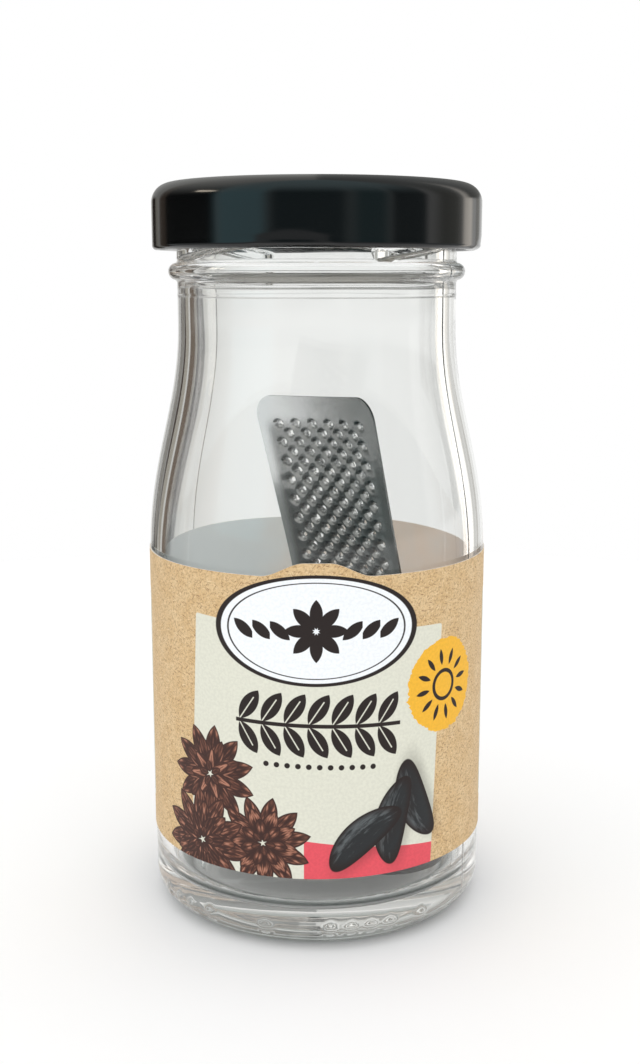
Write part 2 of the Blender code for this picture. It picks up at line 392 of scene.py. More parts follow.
@dataclass(frozen=True)
class BlackEnamel(Finish):
    """Gloss black enamel on tinplate, with orange peel and a few specks of dust."""

    colour: Colour = (0.0018, 0.0021, 0.0022)
    dust_colour: Colour = (0.16, 0.16, 0.155)
    name: str = "black_enamel"

    def shade(self, g: Graph) -> Value:
        """Deep black under a clear gloss.

        Args:
            g: The material's graph.

        Returns:
            The shader.
        """
        at = g.place()
        peel = g.noise(at, 900.0, 2.0)
        haze = g.noise(at, 120.0, 3.0)
        specks = g.noise(at, 1500.0, 1.0).step(0.80, 0.84)
        sparse = g.noise(at, 170.0, 1.0).step(0.56, 0.66)
        dust = specks * sparse
        return g.principled(
            Base_Color=g.mix(dust, self.colour, self.dust_colour),
            Roughness=haze * 0.08 + 0.09 + dust * 0.4,
            Normal=g.bump(peel, 0.006 * MM, 0.35),
        )


@dataclass(frozen=True)
class Lacquer(Finish):
    """White food lacquer inside the lid."""

    colour: Colour = (0.62, 0.60, 0.55)
    name: str = "white_lacquer"

    def shade(self, g: Graph) -> Value:
        """Satin white with faint roller marks.

        Args:
            g: The material's graph.

        Returns:
            The shader.
        """
        at = g.place()
        marks = g.noise(g.stretch(at, (700.0, 60.0, 60.0)), 1.0, 2.0)
        return g.principled(
            Base_Color=g.mix(marks * 0.25, self.colour, (0.5, 0.48, 0.42)),
            Roughness=marks * 0.1 + 0.35,
            Normal=g.bump(marks, 0.004 * MM, 0.4),
        )


@dataclass(frozen=True)
class SealingCompound(Finish):
    """Flowed-in sealing compound."""

    colour: Colour = (0.66, 0.65, 0.61)
    name: str = "sealing_compound"

    def shade(self, g: Graph) -> Value:
        """Matt, slightly mottled.

        Args:
            g: The material's graph.

        Returns:
            The shader.
        """
        at = g.place()
        mottle = g.noise(at, 800.0, 3.0)
        return g.principled(
            Base_Color=g.mix(mottle * 0.4, self.colour, (0.54, 0.53, 0.49)),
            Roughness=mottle * 0.15 + 0.5,
            Subsurface_Weight=0.1,
            Subsurface_Radius=(0.001, 0.001, 0.001),
            Normal=g.bump(mottle, 0.01 * MM, 0.5),
        )


@dataclass(frozen=True)
class StainlessSteel(Finish):
    """Rolled stainless strip, brushed across, with painted shade round its burrs and towards its right
    edge, and bare metal on the burr tips.
    """

    bare: Colour = (0.68, 0.69, 0.69)
    burr_field_shade: Colour = (0.27, 0.275, 0.27)
    shaded: Colour = (0.20, 0.205, 0.20)
    hollow_radius: float = 63.0
    name: str = "stainless_steel"

    def shade(self, g: Graph) -> Value:
        """Brushed metal, with painted shade among the burrs and towards the strip's right edge.

        Args:
            g: The material's graph.

        Returns:
            The shader.
        """
        at = g.place()
        x, y, z = (part * 1000.0 for part in g.split(at))
        rise = self.hollow_radius - z
        depth = (x * x + rise * rise).root() - self.hollow_radius
        brushed = g.noise(g.stretch(at, (160.0, 2600.0, 2600.0)), 1.0, 3.0, 0.6)
        cloudy = g.noise(at, 180.0, 3.0)
        # Painted shade: the metal is darkened towards the strip's right edge and, more, across the burr
        # field; the burr tips keep the bare colour.
        field = y.step(-3.0, -6.0) * abs(x).step(12.6, 10.4)
        shade_to_right = (x + cloudy * 6.0).step(-9.0, 14.0)
        plain = g.mix(shade_to_right, self.bare, self.shaded)
        burr_field_shaded = g.mix(shade_to_right * 0.6, self.burr_field_shade, self.shaded)
        shown = g.mix(field, plain, burr_field_shaded)
        shown = g.mix(depth.step(0.3, 0.62) * 0.9, shown, self.bare)
        return g.principled(
            Base_Color=shown,
            Metallic=1.0,
            Roughness=brushed * 0.12 + cloudy * 0.08 + 0.13,
            Anisotropic=0.35,
            Normal=g.bump(brushed, 0.006 * MM, 0.3),
        )


@dataclass(frozen=True)
class BeanSkin(Finish):
    """Dried, cured seed coat: black-brown, finely wrinkled, with a trace of pale bloom."""

    colour: Colour = (0.012, 0.009, 0.008)
    bloom: Colour = (0.09, 0.085, 0.08)
    name: str = "bean_skin"

    def shade(self, g: Graph) -> Value:
        """Wrinkled satin black.

        Args:
            g: The material's graph.

        Returns:
            The shader.
        """
        at = g.place()
        folds = g.noise(at, 420.0, 4.0, 0.6)
        creases = abs(folds - 0.5).step(0.0, 0.09)
        fine = g.noise(at, 2200.0, 3.0)
        dusty = g.noise(at, 500.0, 4.0).step(0.52, 0.72)
        return g.principled(
            Base_Color=g.mix(dusty * creases * 0.5, self.colour, self.bloom),
            Roughness=fine * 0.2 + 0.36,
            Specular_IOR_Level=0.45,
            Normal=g.bump(creases * 0.7 + fine * 0.3, 0.12 * MM, 0.8),
        )


# The label's print, in millimetres round the jar and up it


class Print:
    """Flat shapes as distances in mm: negative inside, positive outside."""

    def __init__(self, g: Graph, across: Value, up: Value) -> None:
        """Keeps the two coordinates of the flattened label.

        Args:
            g: The material's graph.
            across, up: Place on the sheet in mm.
        """
        self.g = g
        self.across = across
        self.up = up

    def turned(self, x: float, y: float, degrees: float) -> "Print":
        """The same sheet seen from a new centre, turned.

        Args:
            x, y: The new centre.
            degrees: How far the motif is turned, anticlockwise.

        Returns:
            A Print whose coordinates are the motif's own.
        """
        a = math.radians(degrees)
        dx = self.across - x
        dy = self.up - y
        return Print(self.g, dx * math.cos(a) + dy * math.sin(a), dy * math.cos(a) - dx * math.sin(a))

    def rosette(self, count: int, reach: float) -> "Print":
        """The same motif repeated round the centre.

        Args:
            count: How many copies.
            reach: How far each copy's own centre is from the middle.

        Returns:
            A Print whose first axis runs outwards along each copy.
        """
        g = self.g
        sector = 2 * math.pi / count
        angle = g.math("ARCTAN2", self.up, self.across)
        off = g.math("PINGPONG", angle + 2 * math.pi, sector / 2)
        far = (self.across * self.across + self.up * self.up).root()
        return Print(g, far * off.cosine() - reach, far * off.sine())

    def repeated(self, step: float, first: int, last: int) -> "Print":
        """The same motif repeated along the first axis.

        Args:
            step: Distance from copy to copy.
            first, last: Numbers of the first and last copy.

        Returns:
            A Print centred on the nearest copy.
        """
        nearest = self.g.math("ROUND", self.across / step).most(first).least(last)
        return Print(self.g, self.across - nearest * step, self.up)

    def mirrored(self) -> "Print":
        """The right half shown again at the left."""
        return Print(self.g, abs(self.across), self.up)

    def folded(self) -> "Print":
        """The upper half shown again below."""
        return Print(self.g, self.across, abs(self.up))

    def shifted(self, x: float, y: float) -> "Print":
        """The same sheet from a new centre."""
        return Print(self.g, self.across - x, self.up - y)

    def sloped(self, degrees: float) -> "Print":
        """The same centre, turned anticlockwise."""
        return self.turned(0.0, 0.0, degrees)

    def disc(self, x: float, y: float, radius: float) -> Value:
        """A round spot.

        Args:
            x, y: Its centre.
            radius: Its radius.

        Returns:
            The distance from its edge.
        """
        dx = self.across - x
        dy = self.up - y
        return (dx * dx + dy * dy).root() - radius

    def oval(self, x: float, y: float, wide: float, high: float) -> Value:
        """An ellipse, with distances that are right near its edge.

        Args:
            x, y: Its centre.
            wide, high: Its half sizes.

        Returns:
            The distance from its edge.
        """
        dx = (self.across - x) / wide
        dy = (self.up - y) / high
        return ((dx * dx + dy * dy).root() - 1.0) * min(wide, high)

    def box(self, x: float, y: float, wide: float, high: float, round_by: float) -> Value:
        """A rectangle of half sizes wide and high, with rounded corners.

        Args:
            x, y: Its centre.
            wide, high: Its half sizes.
            round_by: Radius of its corners.

        Returns:
            The distance from its edge.
        """
        dx = abs(self.across - x) - (wide - round_by)
        dy = abs(self.up - y) - (high - round_by)
        outside = (dx.most(0.0) ** 2.0 + dy.most(0.0) ** 2.0).root()
        return outside + dx.most(dy).least(0.0) - round_by

    def leaf(self, long: float, wide: float) -> Value:
        """A pointed leaf along the motif's first axis: where two equal discs meet."""
        shift = (long * long - wide * wide) / (2 * wide)
        return self.disc(0.0, -shift, shift + wide).most(self.disc(0.0, shift, shift + wide))

    def ink(self, distance: Value, soft: float = 0.09) -> Value:
        """How much ink lies at a distance from a shape's edge: 1 inside."""
        return distance.step(soft / 2, -soft / 2)


@dataclass(frozen=True)
class KraftPaper:
    """The colours of recycled paper with fibres in it."""

    base: Colour = tint(214, 182, 134)
    dark: Colour = tint(132, 90, 54)
    pale: Colour = tint(236, 212, 170)
    fibre_turns: tuple[float, ...] = (0.3, 1.25, 2.2, 2.9)

    def colour(self, g: Graph, across: Value, up: Value) -> Value:
        """The paper's colour: mottled, with short fibres in every direction.

        Args:
            g: The material's graph.
            across, up: Place on the flat sheet in mm.

        Returns:
            The colour.
        """
        sheet = g.join(across, up, 0.0)
        cloudy = g.noise(sheet, 0.35, 3.0)
        grain = g.noise(sheet, 2.6, 3.0, 0.65)
        shown = g.mix(cloudy.step(0.35, 0.7) * 0.35, self.base, self.pale)
        shown = g.mix(grain.step(0.46, 0.68) * 0.5, shown, self.dark)
        for i, turn in enumerate(self.fibre_turns):
            laid = g.stretch(sheet, (0.9, 6.5, 1.0), (0.0, 0.0, turn))
            offset = (9.3 * i, 4.1, 0.0)
            shifted = g.node("ShaderNodeVectorMath", {"operation": "ADD"}, {0: laid, 1: offset})
            strands = g.noise(shifted, 1.0, 1.0).step(0.63, 0.72)
            shown = g.mix(strands * 0.8, shown, self.dark if i % 2 == 0 else self.pale)
        return shown


@dataclass(frozen=True)
class PrintedLabel(Finish):
    """Kraft paper printed with a plain panel, a plaque, a seal and plant motifs."""

    name: str = "printed_kraft"
    wall: float = 26.8
    paper: KraftPaper = KraftPaper()
    cream: Colour = tint(222, 222, 207)
    white: Colour = tint(243, 247, 250)
    ink: Colour = tint(38, 27, 25)
    coral: Colour = tint(228, 84, 96)
    yellow: Colour = tint(243, 184, 50)
    cocoa: Colour = tint(118, 72, 56)
    cocoa_pale: Colour = tint(188, 132, 108)
    cocoa_dark: Colour = tint(62, 36, 30)
    bean: Colour = tint(40, 42, 44)
    bean_pale: Colour = tint(104, 110, 112)
    plaque_at: Point = (-0.1, 49.9)
    plaque_half: Point = (15.6, 8.3)
    panel_at: Point = (-0.45, 30.0)
    panel_half: Point = (20.1, 20.2)
    panel_tilt: float = -2.6
    band_at: Point = (-0.45, 17.6)
    band_tilt: float = -7.6

    def shade(self, g: Graph) -> Value:
        """Everything that is printed, laid down in order.

        Args:
            g: The material's graph.

        Returns:
            The shader.
        """
        x, y, z = g.split(g.place())
        across = g.math("ARCTAN2", x, -y) * self.wall
        up = z * 1000.0
        flat = Print(g, across, up)
        sheet = g.join(across, up, 0.0)
        shown = self.paper.colour(g, across, up)
        shown = self._front(g, flat, shown)
        shown = self._back(g, flat, shown)
        tooth = g.noise(sheet, 9.0, 4.0, 0.6)
        worn = g.noise(sheet, 2.2, 2.0)
        shown = g.mix(worn.step(0.35, 0.65) * 0.07, shown, self.ink)
        return g.principled(
            Base_Color=shown,
            Roughness=tooth * 0.12 + worn * 0.08 + 0.5,
            Specular_IOR_Level=0.35,
            Normal=g.bump(tooth, 0.02 * MM, 0.5),
        )

    def _front(self, g: Graph, flat: Print, shown: Value) -> Value:
        """The front: panel, band, blossoms, beans, plaque, sprig and seal.

        Args:
            g: The material's graph.
            flat: The flattened label.
            shown: The colour under the print.

        Returns:
            The colour with the print on it.
        """
        tilted = flat.turned(*self.panel_at, self.panel_tilt)
        panel = flat.ink(tilted.box(0.0, 0.0, *self.panel_half, 0.4).most(4.0 - flat.up))
        shown = g.mix(panel, shown, self.cream)
        band = flat.ink(flat.turned(*self.band_at, self.band_tilt).up) * flat.across.step(-2.0, -1.9)
        shown = g.mix(band * panel, shown, self.coral)
        shown = self._blossoms(g, flat, shown)
        shown = self._beans(g, flat, shown)
        shown = self._plaque(g, flat, shown)
        shown = self._sprig(g, flat, shown)
        return self._seal(g, flat, shown)

    def _plaque(self, g: Graph, flat: Print, shown: Value) -> Value:
        """A white oval with a dark rim and a fine inner line, with leaf sprays in it.

        Args:
            g: The material's graph.
            flat: The flattened label.
            shown: The colour under the print.

        Returns:
            The colour with the print on it.
        """
        edge = flat.oval(*self.plaque_at, *self.plaque_half)
        shown = g.mix(flat.ink(edge), shown, self.ink)
        shown = g.mix(flat.ink(edge + 0.5), shown, self.white)
        shown = g.mix(flat.ink(abs(edge + 1.15) - 0.08), shown, self.ink)
        centre = flat.shifted(*self.plaque_at)
        petal = centre.rosette(8, 2.5)
        shown = g.mix(petal.ink(petal.leaf(2.2, 0.95)), shown, self.ink)
        spray = centre.mirrored().repeated(2.7, 2, 4).sloped(40)
        shown = g.mix(spray.ink(spray.leaf(2.1, 0.85)), shown, self.ink)
        return shown

    def _sprig(self, g: Graph, flat: Print, shown: Value) -> Value:
        """A bold leafy twig across the panel's middle, over a row of dots.

        Args:
            g: The material's graph.
            flat: The flattened label.
            shown: The colour under the print.

        Returns:
            The colour with the print on it.
        """
        centre = flat.turned(0.2, 35.6, -1.5)
        stem = flat.ink(abs(centre.up) - 0.3) * abs(centre.across).step(12.6, 12.5)
        shown = g.mix(stem, shown, self.ink)
        leaf = centre.folded().repeated(3.5, -3, 3).shifted(0.0, 2.5).sloped(58)
        vein = leaf.ink(abs(leaf.up) - 0.09) * leaf.across.step(1.5, 1.4)
        shown = g.mix(leaf.ink(leaf.leaf(2.75, 1.25)) * (1.0 - vein), shown, self.ink)
        dots = flat.turned(0.4, 29.3, -2.0).repeated(1.6, -5, 5)
        return g.mix(dots.ink(dots.disc(0.0, 0.0, 0.42)), shown, self.ink)

    def _blossoms(self, g: Graph, flat: Print, shown: Value) -> Value:
        """Three full cocoa-brown blossoms at the lower left, each of four rings of petals.

        Args:
            g: The material's graph.
            flat: The flattened label.
            shown: The colour under the print.

        Returns:
            The colour with the print on it.
        """
        places = ((-8.2, 17.0, 7.2, 12), (-17.2, 26.4, 7.6, 50), (-19.0, 15.4, 8.2, 28))
        for x, y, size, lean in places:
            flower = flat.turned(x, y, lean)
            for ring in range(4):
                reach = size * (1.0 - 0.24 * ring)
                petal = flower.turned(0.0, 0.0, 17 * ring).rosette(11 - 2 * ring, reach * 0.58)
                edge = petal.leaf(reach * 0.46, reach * (0.19 + 0.03 * ring))
                folds = g.noise(g.join(petal.across * 0.5, petal.up * 2.4, x + ring), 1.0, 2.0)
                light = (folds + petal.across * (0.22 / reach)).step(0.38, 0.72)
                colour = g.mix(light, self.cocoa_dark, self.cocoa)
                colour = g.mix(light * folds.step(0.5, 0.75), colour, self.cocoa_pale)
                colour = g.mix(petal.ink(edge + 0.22, 0.3), self.cocoa_dark, colour)
                shown = g.mix(petal.ink(edge), shown, colour)
        return shown

    def _beans(self, g: Graph, flat: Print, shown: Value) -> Value:
        """Three dark beans fanned out on the band at the lower right.

        Args:
            g: The material's graph.
            flat: The flattened label.
            shown: The colour under the print.

        Returns:
            The colour with the print on it.
        """
        for i, (x, y, lean) in enumerate(((15.2, 22.4, 112), (11.4, 20.2, 78), (6.8, 18.4, 38))):
            pod = flat.turned(x, y, lean)
            bent = Print(g, pod.across, pod.up + pod.across * pod.across * 0.025)
            edge = bent.oval(0.0, 0.0, 6.9, 2.7)
            folds = g.noise(g.join(bent.across * 0.35, bent.up * 1.6, 5.0 * i), 1.0, 3.0, 0.6)
            lit = (folds + bent.up * 0.1).step(0.5, 0.74)
            colour = g.mix(lit * 0.7, self.bean, self.bean_pale)
            colour = g.mix(bent.ink(edge + 0.5, 0.9), self.ink, colour)
            shown = g.mix(bent.oval(0.4, -0.7, 7.2, 3.0).step(1.0, -1.0) * 0.35, shown, self.ink)
            shown = g.mix(flat.ink(edge), shown, colour)
        return shown

    def _seal(self, g: Graph, flat: Print, shown: Value) -> Value:
        """A yellow sun with a brushed edge and short rays at the right.

        Args:
            g: The material's graph.
            flat: The flattened label.
            shown: The colour under the print.

        Returns:
            The colour with the print on it.
        """
        sun = flat.turned(21.2, 39.6, 8.0)
        ragged = g.noise(g.join(flat.across, flat.up * 2.6, 0.0), 0.55, 3.0) - 0.5
        shown = g.mix(flat.ink(sun.disc(0.0, 0.0, 7.2) + ragged * 1.6), shown, self.yellow)
        shown = g.mix(flat.ink(abs(sun.disc(0.0, 0.0, 2.2)) - 0.3), shown, self.ink)
        ray = sun.rosette(12, 4.4)
        return g.mix(ray.ink(ray.leaf(1.3, 0.4)), shown, self.ink)

    def _back(self, g: Graph, flat: Print, shown: Value) -> Value:
        """The back: two cream panels away from the seam, one ruled and one with a rosette.

        Args:
            g: The material's graph.
            flat: The flattened label.
            shown: The colour under the print.

        Returns:
            The colour with the print on it.
        """
        centre = Print(g, abs(flat.across) - 52.0, flat.up - 34.0)
        panel = centre.box(0.0, 0.0, 15.5, 17.5, 1.2)
        shown = g.mix(flat.ink(panel), shown, self.cream)
        shown = g.mix(flat.ink(abs(panel + 1.0) - 0.12), shown, self.ink)
        left = flat.across.step(0.1, -0.1)
        rules = Print(g, centre.up, centre.across).repeated(3.4, -3, 3)
        ruled = flat.ink(abs(rules.across) - 0.14) * abs(centre.across).step(11.6, 11.5)
        shown = g.mix(ruled * left, shown, self.cocoa)
        petal = centre.rosette(12, 6.2)
        return g.mix(petal.ink(petal.leaf(5.4, 1.3)) * (1.0 - left), shown, self.ink)


@dataclass(frozen=True)
class PaperBack(Finish):
    """The unprinted, gummed side of the label, seen through the glass."""

    name: str = "gummed_paper"
    painted_glow: float = 0.36

    def shade(self, g: Graph) -> Value:
        """Off-white and mottled, with a painted reflection over its tint and a painted glow that stands in
        for light through the paper.

        Args:
            g: The material's graph.

        Returns:
            The shader.
        """
        at = g.place()
        x, y = g.split(at)[:2]
        cloudy = g.noise(at, 60.0, 4.0)
        # Painted reflection on the paper's own tint: blue-grey towards the left, warm towards the right.
        warm_tint_and_reflection = (x * 22.0 + cloudy * 1.4 - 0.35).step(0.0, 1.0)
        shown = g.mix(warm_tint_and_reflection, tint(216, 222, 222), tint(228, 206, 186))
        return g.principled(
            Base_Color=shown,
            Roughness=cloudy * 0.2 + 0.6,
            Normal=g.bump(g.noise(at, 3000.0, 2.0), 0.01 * MM, 0.3),
            # Painted light: the back half glows with its own colour, though it is no lamp.
            Emission_Color=g.mix(y.step(-0.004, 0.016), (0.0, 0.0, 0.0), shown),
            Emission_Strength=self.painted_glow,
        )


@dataclass(frozen=True)
class CutEdge(Finish):
    """The white core that shows at the label's cut edge."""

    name: str = "cut_paper_edge"

    def shade(self, g: Graph) -> Value:
        """White with fibres.

        Args:
            g: The material's graph.

        Returns:
            The shader.
        """
        fibres = g.noise(g.place(), 2500.0, 3.0)
        return g.principled(
            Base_Color=g.mix(fibres * 0.4, tint(250, 244, 236), tint(228, 204, 172)),
            Roughness=fibres * 0.1 + 0.8,
            Normal=g.bump(fibres, 0.02 * MM, 0.5),
        )


@dataclass(frozen=True)
class StudioFloor(Finish):
    """Pale matt sweep."""

    colour: Colour = (0.97, 0.97, 0.97)
    name: str = "studio_floor"

    def shade(self, g: Graph) -> Value:
        """Matt, with the faintest paper grain.

        Args:
            g: The material's graph.

        Returns:
            The shader.
        """
        grain = g.noise(g.place(), 400.0, 2.0)
        return g.principled(
            Base_Color=g.mix(grain * 0.1, self.colour, (0.95, 0.95, 0.95)),
            Roughness=grain * 0.1 + 0.8,
            Specular_IOR_Level=0.1,
        )


# Mesh building


def arc(centre: Point, radius: float, start: float, end: float, count: int) -> list[Point]:
    """Points on an arc in the (radius, height) plane.

    Args:
        centre: The arc's centre.
        radius: Its radius.
        start, end: Angles in degrees, counted from outwards.
        count: How many points.

    Returns:
        The points, ends included.
    """
    turns = [math.radians(start + (end - start) * i / (count - 1)) for i in range(count)]
    return [(centre[0] + radius * math.cos(a), centre[1] + radius * math.sin(a)) for a in turns]


def bezier(points: tuple[Point, Point, Point, Point], count: int) -> list[Point]:
    """Points on a cubic curve.

    Args:
        points: Its start, two pulls and end.
        count: How many points.

    Returns:
        The points, ends included.
    """
    made = []
    for i in range(count):
        t = i / (count - 1)
        s = 1 - t
        weights = (s**3, 3 * s * s * t, 3 * s * t * t, t**3)
        made.append(tuple(sum(w * p[k] for w, p in zip(weights, points)) for k in (0, 1)))
    return made


def line(start: Point, end: Point, count: int) -> list[Point]:
    """Points on a straight line, ends included."""
    first, last = np.array(start), np.array(end)
    return [tuple(first + (last - first) * i / (count - 1)) for i in range(count)]


def wrap(radius: np.ndarray, angle: np.ndarray, height: np.ndarray) -> np.ndarray:
    """Points round the jar's axis from their radii, angles from the front, and heights."""
    return np.stack([radius * np.sin(angle), -radius * np.cos(angle), height], axis=-1)


def lathe(
    profile: list[Point] | np.ndarray, turns: np.ndarray
) -> tuple[np.ndarray, np.ndarray, np.ndarray]:
    """Carries a profile round the axis.

    Args:
        profile: Points as radius and height.
        turns: Angles of the columns.

    Returns:
        Radius, angle and height of every point, row by row.
    """
    drawn = np.array(profile)
    radius, angle = np.meshgrid(drawn[:, 0], turns, indexing="ij")
    return radius, angle, np.repeat(drawn[:, 1:2], len(turns), axis=1)


def row(first: int, wide: int) -> list[int]:
    """The numbers of a row's points."""
    return list(range(first, first + wide))


def smooth(low: float, high: float, at: np.ndarray) -> np.ndarray:
    """Smooth rise from 0 at low to 1 at high."""
    t = np.clip((at - low) / (high - low), 0.0, 1.0)
    return t * t * (3 - 2 * t)


@dataclass
class Skin:
    """A mesh under construction."""

    name: str
    points: list[tuple[float, ...]] = field(default_factory=list)
    faces: list[tuple[int, ...]] = field(default_factory=list)
    slots: list[int] = field(default_factory=list)

    def grid(self, rows: np.ndarray, slot: int = 0, close: bool = True, flip: bool = False) -> int:
        """Adds a sheet of quads.

        Args:
            rows: Points as an array of rows, columns and three coordinates.
            slot: Material slot of its faces.
            close: Whether the last column joins the first.
            flip: Whether to turn the faces over.

        Returns:
            The number of its first point.
        """
        first = len(self.points)
        high, wide = rows.shape[:2]
        self.points += [tuple(p) for p in rows.reshape(-1, 3)]
        for r in range(high - 1):
            for c in range(wide if close else wide - 1):
                a = first + r * wide + c
                b = first + r * wide + (c + 1) % wide
                face = (a, b, b + wide, a + wide)
                self.faces.append(face[::-1] if flip else face)
                self.slots.append(slot)
        return first

    def bridge(self, one: list[int], other: list[int], slot: int = 0, close: bool = True) -> None:
        """Joins two equal rows of points by quads.

        Args:
            one, other: Numbers of the rows' points.
            slot: Material slot of the faces.
            close: Whether the last points join the first.
        """
        count = len(one)
        for i in range(count if close else count - 1):
            j = (i + 1) % count
            self.faces.append((one[i], one[j], other[j], other[i]))
            self.slots.append(slot)

    def fan(self, ring: list[int], centre: tuple[float, float, float], slot: int = 0) -> None:
        """Closes a ring of points to a centre.

        Args:
            ring: Numbers of the ring's points.
            centre: Where the centre is.
            slot: Material slot of the faces.
        """
        hub = len(self.points)
        self.points.append(centre)
        for i in range(len(ring)):
            self.faces.append((ring[i], ring[(i + 1) % len(ring)], hub))
            self.slots.append(slot)

    def build(self, finishes: list[Finish], sharp: float = 35.0) -> bpy.types.Object:
        """Makes the object, shaded smooth.

        Args:
            finishes: One for each material slot.
            sharp: Edges above this many degrees stay sharp.

        Returns:
            The object, in the scene.
        """
        mesh = bpy.data.meshes.new(self.name)
        mesh.from_pydata(self.points, [], self.faces)
        mesh.polygons.foreach_set("material_index", self.slots)
        return present(mesh, self.name, finishes, sharp)


def present(
    mesh: bpy.types.Mesh, name: str, finishes: list[Finish], sharp: float = 35.0
) -> bpy.types.Object:
    """Puts a mesh into the scene with its finishes, facing outwards and shaded smooth.

    Args:
        mesh: The finished mesh.
        name: The object's name.
        finishes: One for each material slot.
        sharp: Edges above this many degrees stay sharp.

    Returns:
        The object.
    """
    tidy = bmesh.new()
    tidy.from_mesh(mesh)
    bmesh.ops.recalc_face_normals(tidy, faces=tidy.faces)
    tidy.to_mesh(mesh)
    tidy.free()
    for finish in finishes:
        mesh.materials.append(finish.material())
    mesh.shade_smooth()
    mesh.set_sharp_from_angle(angle=math.radians(sharp))
    made = bpy.data.objects.new(name, mesh)
    bpy.context.scene.collection.objects.link(made)
    return made


class Assembly:
    """A group of pieces that ride on one body."""

    body = Body.JAR

    def build(self) -> list[bpy.types.Object]:
        """Makes the pieces."""
        raise NotImplementedError

    def mount(self) -> None:
        """Builds the pieces, puts them on their body and reports them."""
        for piece in self.build():
            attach(piece, self.body.value)
            LOG.info("%s: %d faces on %s", piece.name, len(piece.data.polygons), self.body.value)


